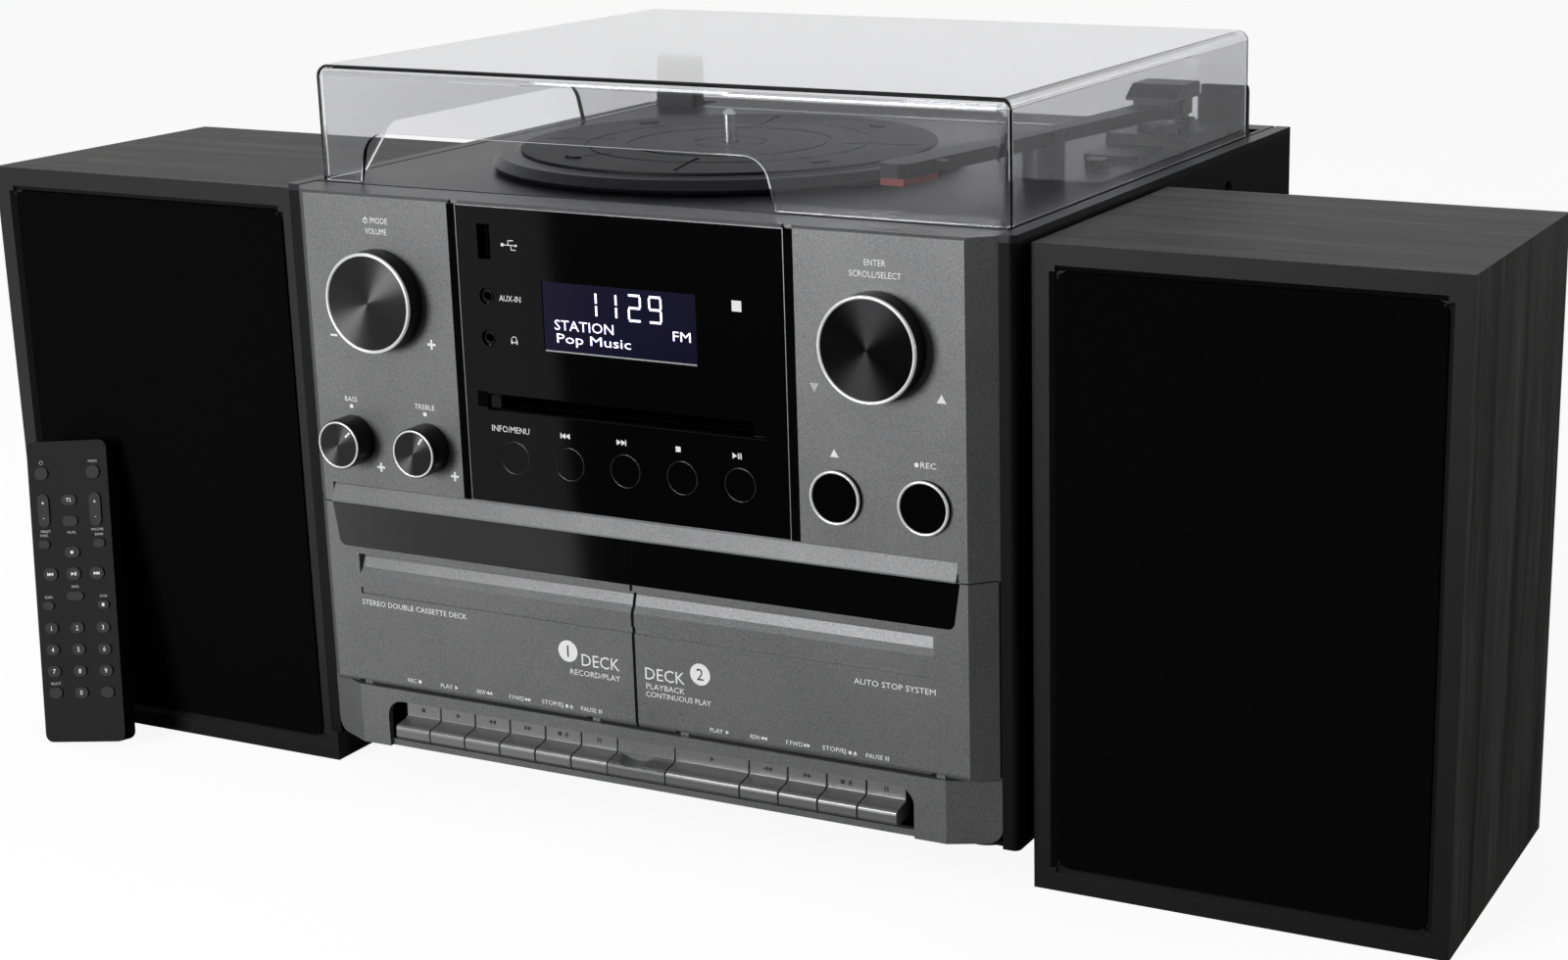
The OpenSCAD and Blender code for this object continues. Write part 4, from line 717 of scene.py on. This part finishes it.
@dataclass
class Fascia(Assembly):
    """Front panel with its prints, and the case around it."""

    FINISHES = {
        Look.FASCIA: ("front_panel",), Look.CASE: ("cabinet_shell", "rear_cover"),
        Look.RUBBER: ("feet",), Look.SOCKET: ("rear_sockets",), Look.DARK: ("screws", "cd_drive"),
        Look.BOARD: ("main_board",), Look.PLATED: ("cassette_mechanisms",),
    }
    EDGES = {"front_panel": 0.35, "cabinet_shell": 0.5, "rear_cover": 0.3}
    WORDS = (
        Words("/MODE", -121.2, 267.1, 2.6, 9.8), Words("VOLUME", -122.8, 262.3, 2.6, 11.5),
        Words("BASS", -143.0, 185.4, 2.3, 6.7), Words("TREBLE", -103.0, 185.4, 2.3, 10.8),
        Words("ENTER", 121.8, 265.9, 2.6, 9.6), Words("SCROLL/SELECT", 121.8, 261.1, 2.6, 23.4),
        Words("REC", 144.2, 184.6, 2.5, 7.0),
    )
    PLUS_SIGNS = ((-97.0, 214.0, 4.4), (-129.0, 155.2, 4.2), (-89.0, 155.2, 4.2))
    DOTS = ((-143.0, 182.1), (-103.0, 182.1), (138.9, 184.4))

    def build(self) -> None:
        """Adds the prints beside the controls."""
        self.paint()
        prints = PrintPlane(self.shop, "print_fascia", "set", self.plane - LIFT, Look.PRINT)
        prints.words(*self.WORDS)
        # Power sign and minus sign.
        prints.hoop(-127.9, 266.9, 1.05, 0.3)
        prints.bar(-127.9, 267.9, 0.5, 1.6)
        prints.bar(-149.8, 214.0, 3.8, 1.0)
        for x, z, size in self.PLUS_SIGNS:
            prints.sign("plus", x, z, size)
        for x, z in self.DOTS:
            prints.dot(x, z, 1.0)
        prints.arrow(150.6, 212.2, 2.5, 0)
        prints.arrow(101.4, 184.9, 2.3, 0)
        prints.done()
        ghost = PrintPlane(self.shop, "print_scroll", "set", self.plane - LIFT, Look.GREY_PRINT)
        ghost.arrow(92.9, 212.9, 2.5, 180)
        ghost.done()


@dataclass
class Display(Assembly):
    """Glossy panel: border lines, display characters, port, jacks, slot and prints."""

    BUTTONS = ("info", "previous", "next", "stop", "play")
    FINISHES = {Look.GLOSS: ("display_panel", *(f"{name}_button" for name in BUTTONS)),
                Look.LCD: ("lcd_module",)}
    EDGES = {"display_panel": 0.3}
    SIGNS = (("previous", -29.6), ("next", -1.4), ("stop", 26.8), ("play_pause", 55.0))
    # Middle, width and height of the bars of the window's mark, the fork and the headphones.
    BARS = ((57.6, 243.3, 4.6, 4.6), (-53.2, 261.0, 6.4, 0.35), (-53.6, 262.1, 0.35, 2.0),
            (-52.2, 263.0, 2.6, 0.35), (-52.2, 259.9, 0.35, 2.0), (-51.0, 259.0, 2.2, 0.35),
            (-54.5, 218.7, 0.7, 1.6), (-51.9, 218.7, 0.7, 1.6))
    # Place, width and height of a digit's seven bars.
    BAR = {"a": (0.0, 5.4, 5.6, 1.0), "g": (0.0, 0.0, 5.6, 1.0), "d": (0.0, -5.4, 5.6, 1.0),
           "b": (2.8, 2.7, 1.0, 4.4), "c": (2.8, -2.7, 1.0, 4.4), "f": (-2.8, 2.7, 1.0, 4.4),
           "e": (-2.8, -2.7, 1.0, 4.4)}
    # Lit bars and place of the digits 1, 1, 2 and 9.
    DIGITS = (("bc", -13.8), ("bc", -3.9), ("abged", 8.0), ("abcdfg", 18.1))
    LINES = (Words("STATION", -17.6, 228.2, 4.4, 29.5), Words("FM", 30.6, 228.0, 4.2, 8.6),
             Words("Pop Music", -13.0, 221.8, 4.1, 37.0))
    JACKS = ((-66.2, 219.6), (-66.2, 237.9))
    # Corners of the port's tongue: place across, depth behind the panel's face, and height.
    TONGUE = ((-67.4, 3.0, 255.5), (-66.0, 12.0, 268.0))
    # Middle, width and height of the dark patch that lengthens the disc slot, as painted shade of its
    # opening.
    SLOT_SHADE = (-71.5, 192.2, 5.2, 7.0)

    half_width: float = 80.3
    trim_width: float = 0.3
    shade_bar_place: float = 82.6
    shade_bar_width: float = 4.0
    digit_place: float = 238.4
    jack_radius: float = 2.4
    button_radius: float = 7.3

    def build(self) -> None:
        """Adds everything that sits on or in the glossy panel."""
        self.paint()
        self._frame()
        self._characters()
        self._ports()
        prints = PrintPlane(self.shop, "print_panel", "set", self.plane - LIFT, Look.PRINT)
        prints.words(Words("AUX-IN", -54.3, 237.7, 2.7, 11.0), Words("INFO/MENU", -57.8, 179.6, 2.8, 19.4))
        for kind, x in self.SIGNS:
            prints.sign(kind, x, 179.5, 1.5)
        for bar in self.BARS:
            prints.bar(*bar)
        prints.dot(-56.6, 261.0, 0.8)
        prints.arrow(-49.6, 261.0, 0.8, 90)
        prints.hoop(-53.2, 219.9, 1.3, 0.2)
        prints.done()

    def _frame(self) -> None:
        """Thin lines round the panel, and dark bars of painted shade in the grooves beside it and at the
        end of the slot.
        """
        low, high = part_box("display_panel")
        z0, z1 = low.z / MM, high.z / MM
        x, w = self.half_width, self.trim_width
        spans = ((-x, z0, x, z0 + w), (-x, z1 - w, x, z1),
                 (-x, z0 + w, w - x, z1 - w), (x - w, z0 + w, x, z1 - w))
        bars = [self.shop.box("bar", Vector((left * MM, self.plane - 0.15 * MM, bottom * MM)),
                              Vector((right * MM, self.plane + 0.05 * MM, top * MM)), Look.TRIM)
                for left, bottom, right, top in spans]
        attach(self.shop.join("panel_frame", bars), "set")
        # Painted shade: dark bars where the grooves beside the panel lie in shade, and a dark patch that
        # lengthens the slot.
        shade_bars = PrintPlane(self.shop, "panel_border", "set", self.plane - 0.03 * MM, Look.DARK)
        for place in (-self.shade_bar_place, self.shade_bar_place):
            shade_bars.bar(place, (z0 + z1) / 2, self.shade_bar_width, z1 - z0)
        shade_bars.bar(*self.SLOT_SHADE)
        shade_bars.done()

    def _characters(self) -> None:
        """Characters on the display, just in front of its glass, and a grey bar under them that is a
        painted highlight on the display's lower edge.
        """
        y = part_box("lcd_module")[0].y - LIFT
        shown = PrintPlane(self.shop, "display_characters", "set", y, Look.LCD_TEXT)
        for lit, x in self.DIGITS:
            for dx, dz, width, height in (self.BAR[name] for name in lit):
                shown.bar(x + dx, self.digit_place + dz, width, height)
        shown.words(*self.LINES)
        shown.done()
        # Painted highlight: a grey bar where the display's lower edge catches light.
        edge_highlight = PrintPlane(self.shop, "display_lip", "set", y - 0.02 * MM, Look.GREY_PRINT)
        edge_highlight.bar(0.0, 216.55, 75.0, 0.5)
        edge_highlight.done()

    def _ports(self) -> None:
        """Tongue of the port, rims of the jacks and rings of the buttons."""
        low, high = (Vector((x * MM, self.plane + depth * MM, z * MM)) for x, depth, z in self.TONGUE)
        tongue = self.shop.box("port_tongue", low, high, Look.DARK)
        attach(tongue, "set")
        rims = [self.shop.ring("rim", Vector((x * MM, self.plane + 1.0 * MM, z * MM)),
                               self.jack_radius * MM, 0.35 * MM, Look.KNOB) for x, z in self.JACKS]
        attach(self.shop.join("jack_rims", rims), "set")
        for name in self.BUTTONS:
            ring = self.shop.ring(f"{name}_ring", self.front(f"{name}_button", -0.02),
                                  self.button_radius * MM, 0.22 * MM, Look.DIM_RING)
            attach(ring, f"{name}_cap")


@dataclass
class Controls(Assembly):
    """Knobs and round buttons with their metal faces."""

    FINISHES = {
        Look.KNOB: ("volume_knob", "enter_knob", "bass_knob", "treble_knob"),
        Look.PLATED: ("volume_shaft", "enter_shaft"), Look.GLOSS: ("eject_button", "record_button"),
    }
    EDGES = {"volume_knob": 0.3, "enter_knob": 0.3, "bass_knob": 0.25, "treble_knob": 0.25}

    large: float = 22.5
    small: float = 11.2
    button: float = 11.0
    face_inset: float = 1.6
    ring_inset: float = 0.95

    def build(self) -> None:
        """Adds faces, rings and pointers."""
        self.paint()
        self._face("volume", self.large, 0.85, Look.SPUN)
        # The enter knob gets the darker copy of the spun finish as painted shade.
        self._face("enter", self.large, 0.85, Look.SPUN_DARK)
        for name, turn in (("bass", 47.0), ("treble", 36.0)):
            self._face(name, self.small, 0.5, Look.SPUN)
            self._pointer(name, turn)
        # Rings of the eject and record buttons, with the same painted highlight in their white glow.
        for name in ("eject", "record"):
            ring = self.shop.ring(f"{name}_ring", self.front(f"{name}_button", -0.1), self.button * MM,
                                  0.65 * MM, Look.RING)
            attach(ring, f"{name}_cap")

    def _face(self, name: str, radius: float, thickness: float, finish: Finish) -> None:
        """A spun-metal disc with a chrome ring round it, whose white glow is a painted highlight.

        Args:
            name: Name of the knob.
            radius: Radius of the knob.
            thickness: Radius of the ring's wire.
            finish: Finish of the disc.
        """
        face = self.shop.rod(f"{name}_face", self.front(f"{name}_knob", 0.05),
                             (radius - self.face_inset) * MM, 0.3 * MM, finish)
        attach(face, f"{name}_dial")
        ring = self.shop.ring(f"{name}_ring", self.front(f"{name}_knob", -0.15),
                              (radius - self.ring_inset) * MM, thickness * MM, Look.RING)
        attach(ring, f"{name}_dial")

    def _pointer(self, name: str, turn: float) -> None:
        """White line on a tone knob's face.

        Args:
            name: Name of the knob.
            turn: Degrees clockwise from pointing up.
        """
        pointer = self.shop.box(f"{name}_pointer", Vector((-0.45, -0.1, 5.8)) * MM,
                                Vector((0.45, 0.1, 9.3)) * MM, Look.PRINT)
        pointer.rotation_euler = (0.0, math.radians(turn), 0.0)
        pointer.location = self.front(f"{name}_knob", 0.22)
        self.shop.apply()
        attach(pointer, f"{name}_dial")


@dataclass
class CassetteDecks(Assembly):
    """Doors with prints, and the piano keys with their signs."""

    FINISHES = {Look.FASCIA: ("cassette_door_left", "cassette_door_right"),
                Look.WINDOW: ("door_window_left", "door_window_right")}
    EDGES = {"cassette_door_left": 0.35, "cassette_door_right": 0.35}

    LABELS = (("REC", "record"), ("PLAY", "play"), ("REW", "rewind"), ("F.FWD", "forward"),
              ("STOP/EJ", "stop_eject"), ("PAUSE", "pause"))

    label_height: float = 55.3
    letter_width: float = 1.6
    key_top: float = 9.1
    key_sign_drop: float = 3.6

    def build(self) -> None:
        """Adds the prints on the doors and the keys."""
        self.paint()
        y = self.plane - LIFT
        left = PrintPlane(self.shop, "print_deck_1", "deck_left", y, Look.PRINT)
        left.words(Words("STEREO DOUBLE CASSETTE DECK", -116.3, 90.1, 2.5, 57.6),
                   Words("DECK", -17.5, 78.3, 5.6, 19.6), Words("RECORD/PLAY", -20.6, 72.0, 2.6, 26.0))
        left.dot(-34.3, 81.3, 5.0)
        self._labels(left, range(6), -118.4, 19.05)
        left.done()
        right = PrintPlane(self.shop, "print_deck_2", "deck_right", y, Look.PRINT)
        right.words(Words("DECK", 15.3, 76.7, 5.6, 20.0), Words("PLAYBACK", 15.3, 70.9, 2.6, 19.4),
                    Words("CONTINUOUS PLAY", 21.7, 67.2, 2.5, 32.8),
                    Words("AUTO STOP SYSTEM", 127.0, 87.9, 2.6, 38.0))
        right.dot(33.1, 79.9, 5.0)
        self._labels(right, range(1, 6), 42.1, 19.15)
        right.done()
        for body, numeral, x, z in (("deck_left", "1", -34.3, 81.3), ("deck_right", "2", 33.1, 79.9)):
            digit = PrintPlane(self.shop, f"deck_number_{numeral}", body, y - LIFT, Look.DARK_PRINT)
            digit.words(Words(numeral, x, z, 5.4))
            digit.done()
        for name in sorted(self.nodes):
            if name.startswith("key_"):
                self._key(name)

    def _labels(self, prints: PrintPlane, which: range, start: float, pitch: float) -> None:
        """Words and signs above the keys.

        Args:
            prints: The prints that they join.
            which: Places in the table of labels.
            start: Place of the first key.
            pitch: Distance from key to key.
        """
        for place, index in enumerate(which):
            body, sign = self.LABELS[index]
            width = self.letter_width * len(body)
            x, z = start + place * pitch - 1.8, self.label_height
            prints.words(Words(body, x, z, 2.0, width))
            mark = x + width / 2 + 2.0
            if sign == "stop_eject":
                prints.sign("stop", mark, z, 0.9)
                prints.sign("eject", mark + 2.4, z, 0.95)
            else:
                prints.sign(sign, mark, z, 1.05)

    def _key(self, name: str) -> None:
        """Silver finish of a key, and a dark sign on its upper face.

        Args:
            name: Name of the key's node.
        """
        self.shop.finish(self.nodes[name], Look.KEY)
        self.shop.soften(self.nodes[name], 0.5 * MM)
        kind = name.split("_")[1]
        low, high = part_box(name)
        x, z = (low.x + high.x) / 2 / MM, high.z / MM - self.key_sign_drop
        prints = PrintPlane(self.shop, f"sign_{name}", f"piano_{name[4:]}", low.y + self.key_top * MM,
                            Look.DARK_PRINT)
        if kind == "stop":
            prints.sign("stop", x - 1.8, z, 1.2)
            prints.sign("eject", x + 1.8, z, 1.2)
        else:
            prints.sign(kind, x, z, 1.3)
        prints.done()


@dataclass
class Turntable(Assembly):
    """Deck, platter, tonearm and the clear cover."""

    FINISHES = {
        Look.DECK: ("deck_plate", "arm_rest"), Look.STEEL: ("spindle",),
        Look.PLATTER: ("platter",), Look.MAT: ("platter_mat",), Look.PLATED: ("drive_motor",),
        Look.RUBBER: ("drive_belt", "cover_hinges"), Look.BRASS: ("motor_pulley",),
        Look.ARM: ("tonearm_base", "tonearm_yoke", "tonearm_tube", "cue_lever", "speed_switch"),
        Look.CARTRIDGE: ("cartridge",), Look.COVER: ("dust_cover",),
    }
    EDGES = {"deck_plate": 0.4, "tonearm_tube": 0.7, "tonearm_base": 0.6, "cartridge": 0.4,
             "cover_hinges": 0.5}

    mark_distance: float = 9.0
    mark_width: float = 0.6

    def build(self) -> None:
        """Adds the marks beside the speed selector, and lets light pass the cover."""
        self.paint()
        self.nodes["dust_cover"].visible_shadow = False
        low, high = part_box("speed_switch")
        y = (low.y + high.y) / 2
        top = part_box("deck_plate")[1].z
        half = self.mark_width / 2
        marks = [self.shop.box("mark", Vector((high.x + 2 * MM, y + (dy - half) * MM, top)),
                               Vector((high.x + 5 * MM, y + (dy + half) * MM, top + 0.08 * MM)),
                               Look.GREY_PRINT) for dy in (-self.mark_distance, self.mark_distance)]
        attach(self.shop.join("speed_marks", marks), "set")


@dataclass
class Speakers(Assembly):
    """Cabinets with wood-grain foil, cloth and drivers."""

    FINISHES = {Look.WOOD: ("speaker_cabinets",), Look.CLOTH: ("speaker_grilles",),
                Look.CONE: ("speaker_drivers",)}
    EDGES = {"speaker_cabinets": 0.6, "speaker_grilles": 0.8}

    # Highest y of the normal of a face that counts as the front.
    front_normal: float = -0.4

    def build(self) -> None:
        """Gives the front frames their black finish."""
        self.paint()
        cabinets = self.nodes["speaker_cabinets"]
        cabinets.data.materials.append(self.shop.shelf.get(Look.FRAME))
        for face in cabinets.data.polygons:
            if face.normal.y < self.front_normal:
                face.material_index = 1


@dataclass
class Remote(Assembly):
    """Remote control with the legends of its keys."""

    FINISHES = {Look.REMOTE: ("remote_case",), Look.REMOTE_KEY: ("remote_keypad",)}
    EDGES = {"remote_case": 0.8}
    # Text, place across and height over the lower end, for the drawn length.
    LEGENDS = (
        *((str(3 * row + column + 2), 14.1 * column, 57.2 - 10.8 * row) for row in range(3)
          for column in (-1, 0, 1)),
        ("0", 0.0, 24.8), ("TS", 0.0, 120.8),
        *((sign, side, up) for side in (-14.1, 14.1) for sign, up in (("+", 119.6), ("-", 112.0))),
    )
    NOTES = (("MODE", 14.0, 139.6), ("MUTE", 0.0, 104.6), ("FUNC", -15.0, 103.4), ("BAND", 15.0, 103.4),
             ("INFO", 0.0, 77.6), ("SCAN", -15.0, 72.6), ("STOP", 15.0, 72.6), ("SELECT", -14.1, 29.4),
             ("PRESET", -14.1, 105.4), ("VOLUME", 14.1, 105.8))
    SIGNS = (("previous", -12.6, 84.1, 1.0), ("play_pause", 0.0, 84.1, 1.0), ("next", 12.6, 84.1, 1.0),
             ("stop", 15.0, 68.4, 0.9))

    # Turns about the vertical, backwards and sideways, in degrees.
    turn: float = 10.5
    lean: float = 11.4
    roll: float = -5.3
    length: float = 146.0
    drawn_length: float = 150.0
    # Places of the prints in front of the middle of the case.
    key_face: float = 5.36
    case_face: float = 4.56

    def _height(self, drawn: float) -> float:
        """Height over the middle of the case, from a height in the drawing."""
        return drawn * self.length / self.drawn_length - self.length / 2

    def build(self) -> None:
        """Adds the legends on the keys and beside them."""
        self.paint()
        keys = PrintPlane(self.shop, "remote_legends", "set", -self.key_face * MM, Look.PRINT)
        for body, x, up in self.LEGENDS:
            keys.words(Words(body, x, self._height(up), 2.2 if len(body) == 1 else 1.9))
        for kind, x, up, size in self.SIGNS:
            keys.sign(kind, x, self._height(up), size)
        keys.dot(0.0, self._height(94.8), 0.8)
        notes = PrintPlane(self.shop, "remote_notes", "set", -self.case_face * MM, Look.GREY_PRINT)
        for body, x, up in self.NOTES:
            notes.words(Words(body, x, self._height(up), 1.2))
        notes.hoop(-14.0, self._height(139.6), 0.9, 0.15)
        low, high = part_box("remote_case")
        place = Matrix.Translation((low + high) / 2)
        for angle, axis in ((self.turn, "Z"), (-self.lean, "X"), (self.roll, "Y")):
            place = place @ Matrix.Rotation(math.radians(angle), 4, axis)
        for prints in (keys, notes):
            piece = self.shop.join(prints.name, prints.parts)
            piece.data.transform(place)
            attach(piece, prints.body)


# ---- stage


@dataclass(frozen=True)
class Lamp:
    """A soft rectangular lamp: name, place, target, size and power."""

    name: str
    place: Point
    target: Point
    size: tuple[float, float]
    power: float


@dataclass(frozen=True)
class Eye:
    """The photograph's camera: place, focal length and shift, with its heading."""

    place: Point = (0.60434, -1.08799, 0.46264)
    azimuth: float = 25.20325
    elevation: float = 15.54664
    roll: float = -0.57002
    lens: float = 61.1052
    shift_x: float = -0.126458
    shift_y: float = 0.005535

    def matrix(self) -> Matrix:
        """Place and rotation of the camera.

        Returns:
            The camera's matrix.
        """
        az, el, ro = (math.radians(v) for v in (self.azimuth, self.elevation, self.roll))
        back = Vector((math.sin(az) * math.cos(el), -math.cos(az) * math.cos(el), math.sin(el)))
        right = (-back).cross(Vector((0.0, 0.0, 1.0))).normalized()
        up = right.cross(-back)
        turned_right = math.cos(ro) * right + math.sin(ro) * up
        turned_up = -math.sin(ro) * right + math.cos(ro) * up
        basis = Matrix((turned_right, turned_up, back)).transposed()
        return Matrix.Translation(Vector(self.place)) @ basis.to_4x4()


@dataclass
class Studio:
    """Floor, lamps, world and camera."""

    LAMPS = (
        Lamp("overhead", (0.0, 0.3, 1.7), (0.0, 0.0, 0.2), (1.6, 1.0), 0.8),
        Lamp("high_left", (-1.04, -1.37, 1.4), (0.0, -0.1, 0.2), (0.3, 0.3), 3.0),
        Lamp("front_left", (-0.8, -2.3, 0.5), (0.0, 0.0, 0.15), (0.8, 0.8), 37.0),
        Lamp("right", (2.3, 0.1, 0.5), (0.2, 0.0, 0.15), (0.6, 0.6), 5.0),
    )

    WHITE = (1.0, 1.0, 1.0, 1.0)
    FLOOR_SIZE = 14.0
    FLOOR_PLACE = (0.0, 2.0, -0.0002)
    FLOOR = (0.24, 0.24, 0.24)
    DARK_FLOOR = (0.02, 0.02, 0.02)
    FLOOR_GLOW = 0.9
    ROOM = 0.17
    SENSOR = 36.0

    shop: Shop

    def build(self) -> None:
        """Sets up everything that isn't the object."""
        self._floor()
        self._world()
        for lamp in self.LAMPS:
            self._lamp(lamp)
        self._camera(Eye())
        bpy.context.scene.view_settings.view_transform = "Standard"

    def _floor(self) -> None:
        """A pale floor that keeps shadows; gloss mirrors it as dark, and brighter on the left."""
        self.shop.clear()
        bpy.ops.mesh.primitive_plane_add(size=self.FLOOR_SIZE, location=self.FLOOR_PLACE)
        floor = bpy.context.view_layer.objects.active
        floor.name = "floor"
        self.shop.apply()
        self.shop.finish(floor, Finish("pale_floor", self.FLOOR, 0.0, 0.9, specular=0.0))
        net = Net(floor.data.materials[0].node_tree)
        shader = net.tree.nodes["Principled BSDF"].inputs
        axes = net.axes("Object").outputs
        # Distance to the left of a slanted line on the floor, in front of the unit.
        left = net.math("SUBTRACT", net.math("MULTIPLY", axes["Y"], 0.7), axes["X"])
        glow = net.math("ADD", net.ramp(left, -0.1, -0.085, 0.0, 0.4), net.ramp(left, -0.02, 0.3, 0.0, 0.9))
        front = net.math("MULTIPLY", glow, net.ramp(axes["Y"], -0.16, -0.24))
        seen, mirrored = self._rays(net)
        strength = net.math("MAXIMUM", net.math("MULTIPLY", seen, self.FLOOR_GLOW),
                            net.math("MULTIPLY", mirrored, front))
        base = net.tint(net.math("SUBTRACT", mirrored, seen), self.FLOOR, self.DARK_FLOOR)
        values = {"Emission Color": self.WHITE, "Emission Strength": strength, "Base Color": base}
        for name, value in values.items():
            net.put(value, shader[name])

    @staticmethod
    def _rays(net: Net) -> tuple[Socket, Socket]:
        """Tells the kinds of rays apart.

        Args:
            net: The nodes that use it.

        Returns:
            1 for rays from the camera or through glass, and 1 for mirrored rays.
        """
        path = net.node("LightPath").outputs
        seen = net.math("MAXIMUM", path["Is Camera Ray"], path["Is Transmission Ray"])
        return seen, path["Is Glossy Ray"]

    def _world(self) -> None:
        """A white backdrop for the eye, a dim room for the light, and a bright back wall for gloss."""
        world = bpy.data.worlds.new("studio")
        bpy.context.scene.world = world
        world.use_nodes = True
        net = Net(world.node_tree)
        background = net.tree.nodes["Background"].inputs
        axes = net.axes("Generated").outputs
        ceiling = net.ramp(axes["Z"], 0.2, 0.6, 0.1, 0.2)
        wall = net.ramp(axes["Z"], 0.5, 0.3, 0.0, 0.92)
        behind = net.math("MULTIPLY", net.ramp(axes["Y"], 0.1, 0.5), wall)
        seen, mirrored = self._rays(net)
        room = net.blend(mirrored, self.ROOM, net.math("MAXIMUM", ceiling, behind))
        net.put(self.WHITE, background["Color"])
        net.put(net.blend(seen, room, 1.0), background["Strength"])

    @staticmethod
    def _lamp(lamp: Lamp) -> None:
        """Adds a lamp that looks at its target.

        Args:
            lamp: The lamp.
        """
        data = bpy.data.lights.new(lamp.name, "AREA")
        data.shape = "RECTANGLE"
        data.size, data.size_y = lamp.size
        data.energy = lamp.power
        light = bpy.data.objects.new(lamp.name, data)
        bpy.context.scene.collection.objects.link(light)
        light.location = lamp.place
        aim = Vector(lamp.target) - Vector(lamp.place)
        light.rotation_euler = aim.to_track_quat("-Z", "Y").to_euler()

    def _camera(self, eye: Eye) -> None:
        """Adds the photograph's camera.

        Args:
            eye: The camera.
        """
        data = bpy.data.cameras.new("photo_camera")
        data.sensor_width = self.SENSOR
        data.lens, data.shift_x, data.shift_y = eye.lens, eye.shift_x, eye.shift_y
        camera = bpy.data.objects.new("photo_camera", data)
        bpy.context.scene.collection.objects.link(camera)
        camera.matrix_world = eye.matrix()
        bpy.context.scene.camera = camera


# ---- main


def main() -> None:
    """Builds the whole picture, one sub-assembly after the other."""
    logging.basicConfig(level=logging.INFO, format="%(name)s: %(message)s")
    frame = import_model()
    nodes = frame["nodes"]
    shop = Shop(MaterialShelf())
    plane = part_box("display_panel")[0].y
    for kind in (Fascia, Display, Controls, CassetteDecks, Turntable, Speakers, Remote):
        known = set(bpy.data.objects)
        kind(shop, nodes, plane).build()
        for piece in sorted(set(bpy.data.objects) - known, key=lambda new: new.name):
            LOG.info("%s: %s", kind.__name__, piece.name)
    Studio(shop).build()
    LOG.info("%d CAD nodes dressed", len(nodes))


if __name__ == "__main__":
    main()
